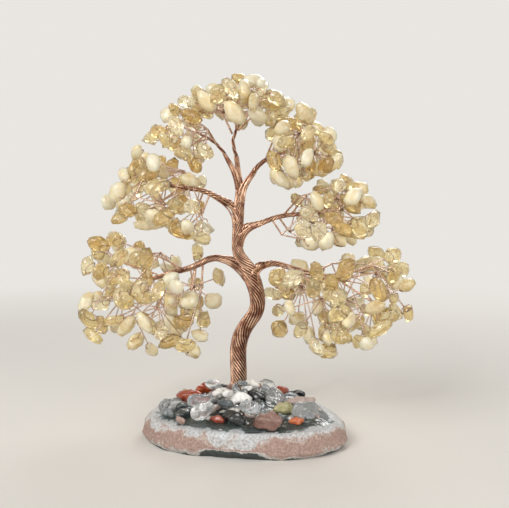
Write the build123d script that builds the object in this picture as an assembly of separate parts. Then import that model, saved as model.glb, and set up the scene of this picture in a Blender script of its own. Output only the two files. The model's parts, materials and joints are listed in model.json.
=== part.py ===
from build123d import *

import math
import os
import random

import numpy as np

# A table ornament in the form of a small tree. A rope of fine copper wires is the trunk. It forks into
# seven limbs of twisted wire, each limb carries side branches, and from their ends twigs fan out, each with
# one tumbled citrine chip. The trunk stands on an agate slice, in a bed of clear resin and mixed gravel.
# The origin is where the trunk's upright axis meets the table. The front looks along -Y.

# Agate slice
SLAB_HALF_LENGTH = 40.0
SLAB_HALF_DEPTH = 34.0
SLAB_THICKNESS = 9.5
SLAB_OFFSET_RIGHT = 1.5
SLAB_OFFSET_FRONT = 7.0
SLAB_TAPER_SHARE = 0.20
SLAB_LEAN_SHARE = 0.11
SLAB_SIDES = 26
SLAB_SWELL_SHARES = (0.025, 0.016, 0.008)
SLAB_RING_SHARES = ((0.0, 0.95), (0.25, 1.0), (0.78, 0.97), (1.0, 0.92))

# Resin bed, a low mound over the middle of the slice
RESIN_HEIGHT = 6.4
RESIN_SIDES = 16
RESIN_RING_SHARES = ((0.0, 0.87), (0.22, 0.82), (0.64, 0.50), (1.0, 0.22))
POCKET_RISE_SHARE = 2.0

# Trunk, a rope of wires that leans out to the right and back again
TREE_RISE = 138.5
TRUNK_SWAY = 7.8
TRUNK_FOOT_RADIUS = 3.2
TRUNK_LOW_RADIUS = 3.5
TRUNK_MID_RADIUS = 2.3
TRUNK_HIGH_RADIUS = 1.9
TRUNK_TOP_RADIUS = 1.1
TRUNK_LAY = 30.0
TRUNK_STRANDS = 8
STRAND_GROOVE_SHARE = 0.16
TRUNK_STATION_SHARES = (
    (-0.05, 0.0, TRUNK_FOOT_RADIUS),
    (-0.03, 0.10, TRUNK_LOW_RADIUS),
    (0.08, 0.209, TRUNK_LOW_RADIUS),
    (0.45, 0.249, TRUNK_FOOT_RADIUS),
    (0.92, 0.290, TRUNK_FOOT_RADIUS),
    (0.97, 0.327, TRUNK_FOOT_RADIUS),
    (0.76, 0.375, TRUNK_LOW_RADIUS),
    (0.46, 0.412, TRUNK_LOW_RADIUS),
    (-0.06, 0.466, TRUNK_MID_RADIUS),
    (-0.08, 0.505, TRUNK_MID_RADIUS),
    (0.0, 0.596, TRUNK_MID_RADIUS),
    (0.05, 0.642, TRUNK_HIGH_RADIUS),
    (0.0, 0.688, TRUNK_TOP_RADIUS),
    (-0.14, 0.747, TRUNK_TOP_RADIUS),
)

# Wire ends splayed in the resin under the trunk
ROOT_COUNT = 9
ROOT_LENGTH = 11.0
ROOT_RADIUS = 0.7
ROOT_TIP_SHARE = 0.5
ROOT_SIDES = 4

# Crown
CROWN_HALF_WIDTH = 71.0
CROWN_HALF_DEPTH = 42.0
CROWN_LEFT_REACH = 68.5
CROWN_RIGHT_REACH = 74.5
DOME_HEIGHT_SHARES = (0.14, 0.20, 0.29, 0.38, 0.46, 0.51, 0.61, 0.70, 0.755, 0.82, 0.89, 0.94, 0.965, 0.99)
DOME_REACH_SHARES = (0.58, 0.83, 1.0, 1.05, 0.96, 0.85, 0.79, 0.69, 0.63, 0.545, 0.42, 0.29, 0.20, 0.05)
DOME_DEPTH_SHARE = 0.75
LIMB_LAY = 15.0
LIMB_STRANDS = 4
LIMB_TIP_SHARE = 0.62
FORK_GAP = 0.30
SWING_DEG = 20.0
SECTOR_DEG = 67.0
LIMB_CLEARANCE = 0.7

# Side branches, twigs and chips
BRANCH_SIDES = 4
BRANCH_ROOT_RADIUS = 0.65
BRANCH_TIP_RADIUS = 1.10
TWIG_SIDES = 3
TWIG_RADIUS = 0.42
TWIG_LEAST = 3.0
TWIG_MOST = 26.0
FAN_SPREAD_DEG = 105.0
CHIP_LENGTH = 8.2
CHIP_WIDTH = 6.6
CHIP_THICKNESS = 5.2
CHIP_SIZE_SHARES = (0.84, 1.16)
PEBBLE_SIDES = 4
PEBBLE_SKEW_SHARES = (-0.18, 0.18)
PEBBLE_CORNER_SHARES = (0.88, 1.12)
PEBBLE_RING_SHARES = ((0.0, 0.52), (0.45, 1.0), (1.0, 0.58))
MILKY_SHARE = 0.42
CHIP_GAP = 0.15
SEAT_GAP = 0.06
SEAT_STEP = 0.12

# Counts for setting out the pieces
PLACE_TRIES = 5000
HUB_CHOICES = 5
SPINE_POINTS = 7
HEIGHT_POINTS = 140
TRUNK_LINKS = 30
LIMB_LINKS = 10
LINK_SIDES = 8

# Gravel
STONE_LENGTH = 9.6
STONE_TURN_DEG = 50.0
STONE_WIDTH_SHARE = 0.74
STONE_HEIGHT_SHARE = 0.62
STONE_PROUD_SHARE = 0.10
STONE_LIFT = 0.25
STONE_GAP = 0.05
POCKET_SHARE = 0.02

# Limbs: side of the trunk, height of the fork, radius at the fork, path, hubs and the oval of the foliage.
# Places are shares of the crown's half width, its half depth and the tree's rise. The first number of a hub
# is how far along the limb its side branch leaves. The oval has its centre and its half sizes.
LEFT_LOW_RADIUS = 1.60
RIGHT_LOW_RADIUS = 1.45
LEFT_MID_RADIUS = 1.40
RIGHT_MID_RADIUS = 1.35
RIGHT_HIGH_RADIUS = 1.15
LEFT_HIGH_RADIUS = 0.85
CROWN_RADIUS = 0.85

LIMB_SHARES = {
    "left_low": {
        "side": -1,
        "fork": 0.441,
        "radius": LEFT_LOW_RADIUS,
        "path": ((-0.16, -0.10, 0.447), (-0.24, -0.13, 0.428), (-0.36, -0.11, 0.408), (-0.50, -0.06, 0.386)),
        "hubs": (
            (0.36, -0.20, -0.42, 0.382),
            (0.46, -0.27, -0.34, 0.340),
            (0.52, -0.28, 0.34, 0.350),
            (0.60, -0.44, -0.40, 0.462),
            (0.66, -0.48, 0.34, 0.455),
            (0.74, -0.44, -0.44, 0.318),
            (0.80, -0.50, 0.38, 0.312),
            (0.88, -0.66, -0.24, 0.440),
            (0.94, -0.70, 0.22, 0.320),
        ),
        "oval": ((-0.49, 0.0, 0.352), (0.43, 0.62, 0.196)),
        "chips": 78,
        "zone": ((0.437, 0.28), None),
    },
    "right_low": {
        "side": 1,
        "fork": 0.424,
        "radius": RIGHT_LOW_RADIUS,
        "path": ((0.20, 0.10, 0.428), (0.31, 0.10, 0.413), (0.46, 0.05, 0.391), (0.62, 0.0, 0.378)),
        "hubs": (
            (0.34, 0.34, -0.38, 0.410),
            (0.44, 0.38, 0.38, 0.352),
            (0.50, 0.46, -0.36, 0.338),
            (0.62, 0.56, 0.36, 0.420),
            (0.70, 0.60, -0.40, 0.412),
            (0.78, 0.64, 0.30, 0.310),
            (0.86, 0.76, -0.26, 0.430),
            (0.91, 0.76, -0.24, 0.322),
            (0.95, 0.82, 0.28, 0.395),
        ),
        "oval": ((0.58, 0.0, 0.345), (0.43, 0.62, 0.176)),
        "chips": 72,
        "zone": ((0.430, 0.13), None),
    },
    "left_mid": {
        "side": -1,
        "fork": 0.607,
        "radius": LEFT_MID_RADIUS,
        "path": ((-0.14, 0.0, 0.630), (-0.20, 0.02, 0.644), (-0.31, 0.04, 0.653), (-0.42, 0.0, 0.662)),
        "hubs": (
            (0.34, -0.20, -0.32, 0.580),
            (0.44, -0.26, 0.34, 0.588),
            (0.52, -0.30, -0.30, 0.700),
            (0.60, -0.36, 0.32, 0.705),
            (0.70, -0.40, -0.36, 0.605),
            (0.78, -0.48, 0.30, 0.610),
            (0.86, -0.50, -0.20, 0.715),
            (0.93, -0.57, 0.18, 0.675),
        ),
        "oval": ((-0.48, 0.0, 0.632), (0.34, 0.56, 0.205)),
        "chips": 68,
        "zone": ((0.607, 0.60), (0.437, 0.28)),
    },
    "right_mid": {
        "side": 1,
        "fork": 0.540,
        "radius": RIGHT_MID_RADIUS,
        "path": ((0.14, 0.02, 0.552), (0.20, 0.04, 0.564), (0.32, 0.04, 0.575), (0.46, 0.0, 0.580)),
        "hubs": (
            (0.36, 0.24, -0.34, 0.520),
            (0.46, 0.30, 0.34, 0.520),
            (0.52, 0.34, -0.32, 0.628),
            (0.62, 0.40, 0.32, 0.632),
            (0.72, 0.46, -0.34, 0.540),
            (0.80, 0.52, 0.30, 0.535),
            (0.88, 0.55, -0.22, 0.625),
            (0.95, 0.60, 0.16, 0.590),
        ),
        "oval": ((0.54, 0.0, 0.590), (0.30, 0.54, 0.180)),
        "chips": 48,
        "zone": ((0.570, 0.42), (0.430, 0.13)),
    },
    "right_high": {
        "side": 1,
        "fork": 0.668,
        "radius": RIGHT_HIGH_RADIUS,
        "path": ((0.10, 0.01, 0.712), (0.16, 0.02, 0.738), (0.25, 0.02, 0.757), (0.34, 0.0, 0.768)),
        "hubs": (
            (0.46, 0.19, -0.28, 0.782),
            (0.56, 0.21, 0.30, 0.790),
            (0.66, 0.31, -0.30, 0.722),
            (0.74, 0.34, 0.30, 0.730),
            (0.82, 0.34, -0.22, 0.808),
            (0.89, 0.38, 0.20, 0.812),
            (0.95, 0.43, -0.06, 0.755),
        ),
        "oval": ((0.37, 0.0, 0.790), (0.28, 0.52, 0.170)),
        "chips": 46,
        "zone": ((0.742, 0.80), (0.570, 0.42)),
    },
    "left_high": {
        "side": -1,
        "fork": 0.712,
        "radius": LEFT_HIGH_RADIUS,
        "path": ((-0.08, -0.01, 0.752), (-0.13, -0.03, 0.782), (-0.19, -0.03, 0.803), (-0.26, -0.01, 0.818)),
        "hubs": (
            (0.50, -0.17, -0.26, 0.818),
            (0.58, -0.19, 0.28, 0.825),
            (0.68, -0.25, -0.28, 0.780),
            (0.78, -0.28, 0.28, 0.785),
            (0.88, -0.29, -0.14, 0.852),
            (0.95, -0.33, 0.16, 0.838),
        ),
        "oval": ((-0.38, 0.0, 0.810), (0.25, 0.50, 0.160)),
        "chips": 32,
        "zone": ((0.742, 0.80), (0.607, 0.60)),
    },
    "crown": {
        "side": 0,
        "radius": CROWN_RADIUS,
        "path": ((-0.035, 0.0, 0.785), (-0.02, 0.0, 0.815), (0.0, 0.0, 0.842), (0.02, 0.0, 0.862)),
        "hubs": (
            (0.46, -0.09, -0.12, 0.868),
            (0.56, 0.08, 0.14, 0.868),
            (0.64, -0.02, -0.24, 0.880),
            (0.72, -0.07, 0.22, 0.888),
            (0.80, 0.11, -0.10, 0.888),
            (0.88, -0.13, 0.04, 0.900),
            (0.95, 0.15, 0.08, 0.905),
        ),
        "oval": ((0.0, 0.0, 0.880), (0.38, 0.52, 0.100)),
        "chips": 44,
        "zone": (None, (0.742, 0.80)),
    },
}
OVAL_CORE_SHARE = 0.45
OVAL_FULLNESS = 2.8

# Gravel stones: shares of the slice's half length there, its half depth and a stone's length
GRAVEL_SHARES = {
    "gravel_red_jasper": (
        (-0.55, 0.04, 1.10), (-0.40, -0.14, 0.72), (-0.40, 0.53, 1.00), (0.40, -0.69, 0.61),
        (-0.26, -0.68, 0.61), (0.50, 0.53, 0.78),
    ),
    "gravel_white_pebbles": (
        (-0.25, -0.11, 0.54), (-0.17, 0.11, 0.57), (-0.05, -0.27, 1.00), (-0.16, -0.31, 0.50),
        (-0.12, -0.51, 0.51), (0.27, 0.60, 0.60),
    ),
    "gravel_black_obsidian": ((0.11, -0.15, 1.00), (-0.12, -0.75, 0.93), (0.65, 0.38, 0.78)),
    "gravel_green_prehnite": ((0.18, 0.38, 0.88), (0.34, -0.44, 0.90), (-0.59, 0.34, 0.75)),
    "gravel_rose_quartz": (
        (-0.30, -0.42, 0.82), (0.02, -0.60, 0.44), (0.51, -0.16, 0.82), (0.69, 0.08, 0.65),
        (0.14, -0.85, 1.10), (-0.57, -0.60, 0.45), (-0.03, 0.62, 0.75),
    ),
    "gravel_smoky_agate": (
        (-0.20, 0.72, 0.66), (-0.17, 0.41, 0.72), (-0.19, -0.46, 0.62), (0.12, -0.41, 0.78),
        (0.27, -0.67, 0.65), (0.54, 0.19, 0.65), (-0.56, -0.47, 0.65), (-0.57, -0.24, 0.72),
        (-0.71, -0.36, 0.65), (0.13, 0.74, 0.78),
    ),
    "gravel_clear_quartz": (
        (-0.31, 0.19, 0.72), (0.25, 0.21, 0.70), (0.39, 0.36, 0.65), (0.31, -0.12, 0.82),
        (0.15, -0.60, 0.65), (0.51, -0.49, 1.10), (0.50, -0.68, 0.55), (0.00, -0.81, 0.82),
        (-0.38, -0.72, 0.95), (-0.41, -0.51, 0.97), (-0.72, -0.11, 1.00), (0.38, 0.69, 0.75),
    ),
}


def unit(vector):
    """The vector at length one, or zero where it has no direction."""
    length = math.sqrt(vector @ vector)
    return vector / length if length else vector * 0


def cross(one, other):
    """The vector square to two others."""
    return np.array((
        one[1] * other[2] - one[2] * other[1],
        one[2] * other[0] - one[0] * other[2],
        one[0] * other[1] - one[1] * other[0],
    ))


def across(along):
    """Two directions square to a third."""
    lead = np.array((0.0, 1.0, 0.0)) if abs(along[1]) < math.cos(math.pi / 6) else np.array((1.0, 0.0, 0.0))
    side = unit(cross(lead, along))
    return side, cross(along, side)


def turned(point, degrees):
    """A point after a turn about the trunk's upright axis."""
    turn = math.radians(degrees)
    x, y, z = point
    return np.array((x * math.cos(turn) - y * math.sin(turn), x * math.sin(turn) + y * math.cos(turn), z))


def crown_place(x_share, y_share, z_share):
    """A place in the crown from its three shares."""
    height = SLAB_THICKNESS + z_share * TREE_RISE
    return np.array((x_share * CROWN_HALF_WIDTH, y_share * CROWN_HALF_DEPTH, height))


def flat(points):
    """A flat face through points that lie in one plane."""
    return Face(Wire.make_polygon([Vector(*point) for point in points], close=True))


def skin(rings, twisted=False):
    """A closed solid whose flat facets join each ring of points to the next one."""
    faces = [flat(rings[0]), flat(rings[-1])]
    count = len(rings[0])
    for low, high in zip(rings, rings[1:]):
        for i in range(count):
            j = (i + 1) % count
            if twisted:
                faces.append(flat((low[i], low[j], high[j])))
                faces.append(flat((low[i], high[j], high[i])))
            else:
                faces.append(flat((low[i], low[j], high[j], high[i])))
    return Solid(Shell(faces))


class Barrel:
    """A convex piece: one polygon, drawn at several sizes along a straight axis."""

    def __init__(self, start, end, profile, ring_shares):
        self.start = start
        self.end = end
        self.along = unit(end - start)
        side, rise = across(self.along)
        self.rings = []
        for share, scale in ring_shares:
            middle = start + share * (end - start)
            self.rings.append([middle + scale * (a * side + b * rise) for a, b in profile])
        self.points = np.concatenate(self.rings)
        self.low = self.points.min(axis=0)
        self.high = self.points.max(axis=0)
        self.middle = (start + end) / 2
        self.normals = self.facet_normals()
        self.offsets = (self.normals @ self.points.T).max(axis=1)

    def facet_normals(self):
        """The way that each facet faces."""
        normals = [-self.along, self.along]
        for low, high in zip(self.rings, self.rings[1:]):
            for i, corner in enumerate(low):
                normals.append(unit(cross(high[i] - corner, low[i - 1] - corner)))
        return np.array(normals)

    def apart(self, other, gap):
        """Whether a plane along a facet, or one set by the two axes, keeps two pieces a gap apart."""
        square = unit(cross(self.along, other.along))
        sides = (square, cross(square, self.along), cross(square, other.along))
        axes = np.vstack((self.normals, other.normals, *sides))
        mine = axes @ self.points.T
        theirs = axes @ other.points.T
        room = np.maximum(theirs.min(axis=1) - mine.max(axis=1), mine.min(axis=1) - theirs.max(axis=1))
        return room.max() > gap

    def way_out(self, place, way, radius):
        """How far along a way, from a place in the piece, the end of a thin rod stands clear of it."""
        facing = self.normals @ way
        slant = np.sqrt(np.clip(1 - facing ** 2, 0, 1))
        room = self.offsets - self.normals @ place + radius * slant + SEAT_GAP
        ahead = facing > 0
        return max((room[ahead] / facing[ahead]).min(), 0)

    def solid(self):
        """The piece as a solid."""
        return skin(self.rings)


class Space:
    """Everything placed so far, for keeping new pieces clear of it."""

    def __init__(self):
        self.pieces = []
        self.lows = np.empty((0, 3))
        self.highs = np.empty((0, 3))

    def add(self, piece):
        """Takes a piece up."""
        self.pieces.append(piece)
        self.lows = np.vstack((self.lows, piece.low))
        self.highs = np.vstack((self.highs, piece.high))

    def clear(self, piece, gap):
        """Whether a new piece stays a gap away from all others."""
        near = np.all((self.lows < piece.high + gap) & (self.highs > piece.low - gap), axis=1)
        return all(piece.apart(self.pieces[i], gap) for i in np.flatnonzero(near))


def rod(start, end, start_radius, end_radius, sides):
    """A straight wire or wire bundle, which may thin or flare."""
    turns = [2 * math.pi * i / sides for i in range(sides)]
    profile = [(start_radius * math.cos(turn), start_radius * math.sin(turn)) for turn in turns]
    return Barrel(start, end, profile, ((0, 1), (1, end_radius / start_radius)))


def pebble(middle, along, sizes, roll, draw):
    """A tumbled stone of uneven section, from its length, width and height."""
    length, width, height = sizes
    profile = []
    for i in range(PEBBLE_SIDES):
        turn = roll + 2 * math.pi * (i + draw.uniform(*PEBBLE_SKEW_SHARES)) / PEBBLE_SIDES
        corner_share = draw.uniform(*PEBBLE_CORNER_SHARES)
        half_width, half_height = corner_share * width / 2, corner_share * height / 2
        profile.append((half_width * math.cos(turn), half_height * math.sin(turn)))
    return Barrel(middle - along * length / 2, middle + along * length / 2, profile, PEBBLE_RING_SHARES)


class Bundle:
    """Wires twisted into one rope along a smooth path."""

    def __init__(self, points, radii, strands, lay, first_way=None):
        first_way = points[1] - points[0] if first_way is None else first_way
        ways = [Vector(*unit(way)) for way in (first_way, points[-1] - points[-2])]
        self.path = Spline(*[Vector(*point) for point in points], tangents=ways)
        steps = [math.dist(a, b) for a, b in zip(points, points[1:])]
        self.shares = np.concatenate(([0], np.cumsum(steps))) / sum(steps)
        self.radii = radii
        self.strands = strands
        self.lay = lay

    def radius(self, share):
        """Radius over the strands, some way along."""
        return float(np.interp(share, self.shares, self.radii))

    def at(self, share):
        """Middle of the rope, some way along."""
        return np.array(tuple(self.path.position_at(share)))

    def along(self, share):
        """Direction of the rope, some way along."""
        return unit(np.array(tuple(self.path.tangent_at(share))))

    def share_at_height(self, height):
        """How far along an upright rope a height lies."""
        shares = np.linspace(0, 1, HEIGHT_POINTS)
        return float(np.interp(height, [self.at(share)[2] for share in shares], shares))

    def solid(self):
        """The rope, laid left-handed, with a groove between each two strands."""
        steps = math.ceil(self.path.length * self.strands / self.lay)
        rings = []
        for step in range(steps + 1):
            share = step / steps
            middle = self.at(share)
            side, rise = across(self.along(share))
            lead = -2 * math.pi * share * self.path.length / self.lay
            ring = []
            for i in range(2 * self.strands):
                turn = lead + math.pi * i / self.strands
                reach = self.radius(share) * (1 - STRAND_GROOVE_SHARE * (i % 2))
                ring.append(middle + reach * (math.cos(turn) * side + math.sin(turn) * rise))
            rings.append(ring)
        return skin(rings, twisted=True)

    def links(self, count):
        """Plain rods that cover the rope, to keep other pieces clear of it."""
        shares = np.linspace(0, 1, count + 1)
        cover = 1 / math.cos(math.pi / LINK_SIDES)
        return [rod(self.at(a), self.at(b), cover * self.radius(a), cover * self.radius(b), LINK_SIDES)
                for a, b in zip(shares, shares[1:])]


class Limb:
    """One limb with its side branches, twigs and chips."""

    def __init__(self, name, sizes, trunk, trunk_links):
        self.name = name
        self.sizes = sizes
        self.draw = random.Random(name)
        self.bundle = self.forked(trunk, trunk_links)
        self.branches = []
        self.hubs = []
        self.twigs = []
        self.chips = {"clear": [], "milky": []}

    def forked(self, trunk, trunk_links):
        """The limb's rope, begun beside the trunk or, for the crown, on the trunk's top end."""
        path = [crown_place(*row) for row in self.sizes["path"]]
        radius = self.sizes["radius"]
        radii = np.linspace(radius, radius * LIMB_TIP_SHARE, len(path) + 1)
        if not self.sizes["side"]:
            root = trunk.at(1) + trunk.along(1) * SEAT_GAP
            return Bundle([root, *path], radii, LIMB_STRANDS, LIMB_LAY, trunk.along(1))
        root = trunk.at(trunk.share_at_height(SLAB_THICKNESS + self.sizes["fork"] * TREE_RISE))
        clear = False
        while not clear:
            root = root + np.array((self.sizes["side"] * SEAT_STEP, 0, 0))
            bundle = Bundle([root, *path], radii, LIMB_STRANDS, LIMB_LAY)
            clear = self.swings_clear(bundle.links(LIMB_LINKS)[:2], trunk_links)
        return bundle

    def swings_clear(self, links, trunk_links):
        """Whether the fork clears the trunk at rest and at both ends of the limb's swing."""
        for swing in (0, -SWING_DEG, SWING_DEG):
            for link in links:
                radius = math.dist(link.rings[0][0], link.start)
                moved = rod(turned(link.start, swing), turned(link.end, swing), radius, radius, LINK_SIDES)
                if not all(moved.apart(other, FORK_GAP) for other in trunk_links):
                    return False
        return True

    def holds(self, piece):
        """Whether a piece keeps to the limb's own room however the limbs swing about the trunk's axis."""
        spread = np.linspace(0, 1, SPINE_POINTS)
        spine = [piece.start + share * (piece.end - piece.start) for share in spread]
        points = np.vstack((piece.points, spine))
        out = np.hypot(points[:, 0], points[:, 1])
        heights = points[:, 2] - SLAB_THICKNESS
        upper, lower = self.sizes["zone"]
        if upper and np.any(heights + LIMB_CLEARANCE > upper[0] * TREE_RISE + upper[1] * out):
            return False
        if lower and np.any(heights - LIMB_CLEARANCE < lower[0] * TREE_RISE + lower[1] * out):
            return False
        if np.any(points[:, 0] < -CROWN_LEFT_REACH) or np.any(points[:, 0] > CROWN_RIGHT_REACH):
            return False
        reach = CROWN_HALF_WIDTH * np.interp(heights / TREE_RISE, DOME_HEIGHT_SHARES, DOME_REACH_SHARES)
        wide = np.hypot(points[:, 0], points[:, 1] * DOME_DEPTH_SHARE)
        if np.any(np.abs(points[:, 1]) > CROWN_HALF_DEPTH) or np.any(wide > reach):
            return False
        if not self.sizes["side"]:
            return True
        trunk_room = TRUNK_LOW_RADIUS + LIMB_CLEARANCE
        if not lower:
            trunk_room += TRUNK_SWAY
        bearing = np.arctan2(np.abs(points[:, 1]), self.sizes["side"] * points[:, 0])
        return out.min() > trunk_room and bearing.max() < math.radians(SECTOR_DEG)

    def put_up(self, space):
        """Sets the limb and its side branches, and notes the ends that twigs fan out from."""
        links = self.bundle.links(LIMB_LINKS)
        for link in links:
            space.add(link)
        self.hubs.append((links[-1].end, links[-1].along, links[-1]))
        for share, *place in self.sizes["hubs"]:
            end = crown_place(*place)
            start = self.bundle.at(share)
            way = unit(end - start)
            branch = None
            while branch is None or not space.clear(branch, SEAT_GAP):
                start = start + way * SEAT_STEP
                branch = rod(start, end, BRANCH_ROOT_RADIUS, BRANCH_TIP_RADIUS, BRANCH_SIDES)
            space.add(branch)
            self.branches.append(branch)
            self.hubs.append((end, way, branch))

    def leaf_place(self):
        """A place in the full-cornered oval of the foliage, away from its core."""
        centre, half = (np.array(row) for row in self.sizes["oval"])
        way = np.array([self.draw.gauss(0, 1) for _ in range(3)])
        way = way / np.sum(np.abs(way) ** OVAL_FULLNESS) ** (1 / OVAL_FULLNESS)
        depth_share = self.draw.uniform(OVAL_CORE_SHARE ** 3, 1) ** (1 / 3)
        return crown_place(*(centre + half * way * depth_share))

    def new_chip(self, middle):
        """A chip that lies any way round."""
        along = unit(np.array([self.draw.gauss(0, 1) for _ in range(3)]))
        length = CHIP_LENGTH * self.draw.uniform(*CHIP_SIZE_SHARES)
        width = CHIP_WIDTH * self.draw.uniform(*CHIP_SIZE_SHARES)
        roll = self.draw.uniform(0, 2 * math.pi)
        return pebble(middle, along, (length, width, CHIP_THICKNESS), roll, self.draw)

    def new_twig(self, chip, space):
        """A twig to the chip from the nearest hub that has a clear way to it."""
        nearest = sorted(self.hubs, key=lambda hub: math.dist(hub[0], chip.middle))
        for place, outward, carrier in nearest[:HUB_CHOICES]:
            way = unit(chip.middle - place)
            start = place + way * carrier.way_out(place, way, TWIG_RADIUS)
            end = chip.middle - way * chip.way_out(chip.middle, -way, TWIG_RADIUS)
            length = (end - start) @ way
            in_fan = way @ outward >= math.cos(math.radians(FAN_SPREAD_DEG))
            if not in_fan or not TWIG_LEAST < length < TWIG_MOST:
                continue
            twig = rod(start, end, TWIG_RADIUS, TWIG_RADIUS, TWIG_SIDES)
            if self.holds(twig) and space.clear(twig, 0):
                return twig
        return None

    def grow(self, space):
        """Hangs chips on twigs until the limb has its number, or no more room."""
        for _ in range(PLACE_TRIES):
            if len(self.twigs) == self.sizes["chips"]:
                break
            chip = self.new_chip(self.leaf_place())
            if not self.holds(chip) or not space.clear(chip, CHIP_GAP):
                continue
            twig = self.new_twig(chip, space)
            if twig is None:
                continue
            space.add(chip)
            space.add(twig)
            self.twigs.append(twig)
            self.chips["milky" if self.draw.random() < MILKY_SHARE else "clear"].append(chip)

    def nodes(self):
        """The limb's pieces by name."""
        return {
            f"{self.name}_limb": [self.bundle.solid()],
            f"{self.name}_side_branches": [branch.solid() for branch in self.branches],
            f"{self.name}_twigs": [twig.solid() for twig in self.twigs],
            f"{self.name}_citrine_clear": [chip.solid() for chip in self.chips["clear"]],
            f"{self.name}_citrine_milky": [chip.solid() for chip in self.chips["milky"]],
        }


def slab_place(x_share, y_share):
    """A place from the middle of the slice, which is broad at the front and leans to the right there."""
    half_length = SLAB_HALF_LENGTH * (1 - SLAB_TAPER_SHARE * y_share)
    y = SLAB_HALF_DEPTH * y_share
    return half_length * x_share - SLAB_LEAN_SHARE * y, y


def uneven_oval(sides):
    """The outline of the agate slice."""
    outline = []
    for i in range(sides):
        turn = 2 * math.pi * i / sides
        swell = 1
        for order, share in enumerate(SLAB_SWELL_SHARES, start=2):
            swell += share * math.cos(order * turn + order)
        outline.append(slab_place(swell * math.cos(turn), swell * math.sin(turn)))
    return outline


def layered(base, height, outline, ring_shares):
    """A solid of one outline, drawn at several sizes above a flat base."""
    rings = []
    for height_share, outline_share in ring_shares:
        level = np.array((SLAB_OFFSET_RIGHT, -SLAB_OFFSET_FRONT, base + height_share * height))
        rings.append([level + outline_share * np.array((x, y, 0)) for x, y in outline])
    return skin(rings)


def trunk_rope():
    """The trunk's rope of wires."""
    points = [np.array((sway * TRUNK_SWAY, 0, SLAB_THICKNESS + rise * TREE_RISE))
              for sway, rise, _ in TRUNK_STATION_SHARES]
    radii = [row[2] for row in TRUNK_STATION_SHARES]
    return Bundle(points, radii, TRUNK_STRANDS, TRUNK_LAY, first_way=np.array((0, 0, 1)))


def root_wires(trunk):
    """Wire ends splayed out from the trunk's foot, on the slice."""
    roots = []
    for i in range(ROOT_COUNT):
        turn = 2 * math.pi * i / ROOT_COUNT
        way = np.array((math.cos(turn), math.sin(turn), 0))
        start = trunk.at(0) + way * (TRUNK_FOOT_RADIUS + SEAT_GAP) + np.array((0, 0, ROOT_RADIUS))
        tip = start + way * ROOT_LENGTH
        roots.append(rod(start, tip, ROOT_RADIUS, ROOT_RADIUS * ROOT_TIP_SHARE, ROOT_SIDES))
    return roots


def bed_height(x, y):
    """Height of the resin over the slice, at a place measured from the slice's middle."""
    corners = np.array(uneven_oval(RESIN_SIDES))
    turns = np.arctan2(corners[:, 1], corners[:, 0])
    reaches = np.hypot(corners[:, 0], corners[:, 1])
    out_share = math.hypot(x, y) / float(np.interp(math.atan2(y, x), turns, reaches, period=2 * math.pi))
    height_shares, outline_shares = zip(*reversed(RESIN_RING_SHARES))
    return RESIN_HEIGHT * float(np.interp(out_share, outline_shares, height_shares))


def stone_and_pocket(row, draw, space):
    """One stone, sunk in the resin as far as its neighbours let it, and its slightly larger pocket."""
    x_share, y_share, size_share = row
    x, y = slab_place(x_share, y_share)
    length = size_share * STONE_LENGTH
    sizes = np.array((length, length * STONE_WIDTH_SHARE, length * STONE_HEIGHT_SHARE))
    turn = math.radians(draw.uniform(-STONE_TURN_DEG, STONE_TURN_DEG))
    roll, seed = draw.uniform(0, math.pi), draw.random()
    along = np.array((math.cos(turn), math.sin(turn), 0))
    height = SLAB_THICKNESS + bed_height(x, y) + STONE_PROUD_SHARE * sizes[2]
    middle = np.array((SLAB_OFFSET_RIGHT + x, y - SLAB_OFFSET_FRONT, height))
    stone = None
    while stone is None or stone.low[2] < SLAB_THICKNESS + STONE_GAP or not space.clear(stone, STONE_GAP):
        middle = middle + np.array((0, 0, STONE_LIFT))
        stone = pebble(middle, along, sizes, roll, random.Random(seed))
    space.add(stone)
    return stone, pebble(middle, along, sizes * (1 + POCKET_SHARE), roll, random.Random(seed))


def base_nodes(trunk, space):
    """The agate slice, the resin bed, the roots and the gravel by name."""
    roots = root_wires(trunk)
    for root in roots:
        space.add(root)
    draw = random.Random("gravel")
    nodes = {"root_wires": [root.solid() for root in roots]}
    foot = trunk.at(0)
    foot_radius = (TRUNK_LOW_RADIUS + SEAT_GAP) / math.cos(math.pi / RESIN_SIDES)
    rise = np.array((0, 0, POCKET_RISE_SHARE * RESIN_HEIGHT))
    pockets = [rod(foot, foot + rise, foot_radius, foot_radius, RESIN_SIDES)]
    for root in roots:
        radius = ROOT_RADIUS + SEAT_GAP
        pockets.append(rod(root.start, root.end + root.along * SEAT_GAP, radius, radius, ROOT_SIDES))
    for name, rows in GRAVEL_SHARES.items():
        nodes[name] = []
        for row in rows:
            stone, pocket = stone_and_pocket(row, draw, space)
            nodes[name].append(stone.solid())
            pockets.append(pocket)
    mound = layered(SLAB_THICKNESS, RESIN_HEIGHT, uneven_oval(RESIN_SIDES), RESIN_RING_SHARES)
    nodes["resin_bed"] = mound.cut(*[pocket.solid() for pocket in pockets]).solids()
    nodes["agate_base"] = [layered(0, SLAB_THICKNESS, uneven_oval(SLAB_SIDES), SLAB_RING_SHARES)]
    return nodes


def main():
    """Builds every piece and writes one file for each name."""
    space = Space()
    trunk = trunk_rope()
    trunk_links = trunk.links(TRUNK_LINKS)
    for link in trunk_links:
        space.add(link)
    limbs = [Limb(name, sizes, trunk, trunk_links) for name, sizes in LIMB_SHARES.items()]
    for limb in limbs:
        limb.put_up(space)
    nodes = {"trunk_bundle": [trunk.solid()], **base_nodes(trunk, space)}
    for limb in limbs:
        limb.grow(space)
        nodes.update(limb.nodes())
        print(limb.name, len(limb.twigs), "chips of", limb.sizes["chips"])
    os.makedirs("parts", exist_ok=True)
    for name, solids in nodes.items():
        export_step(Compound(solids), f"parts/{name}.step")


main()
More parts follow.
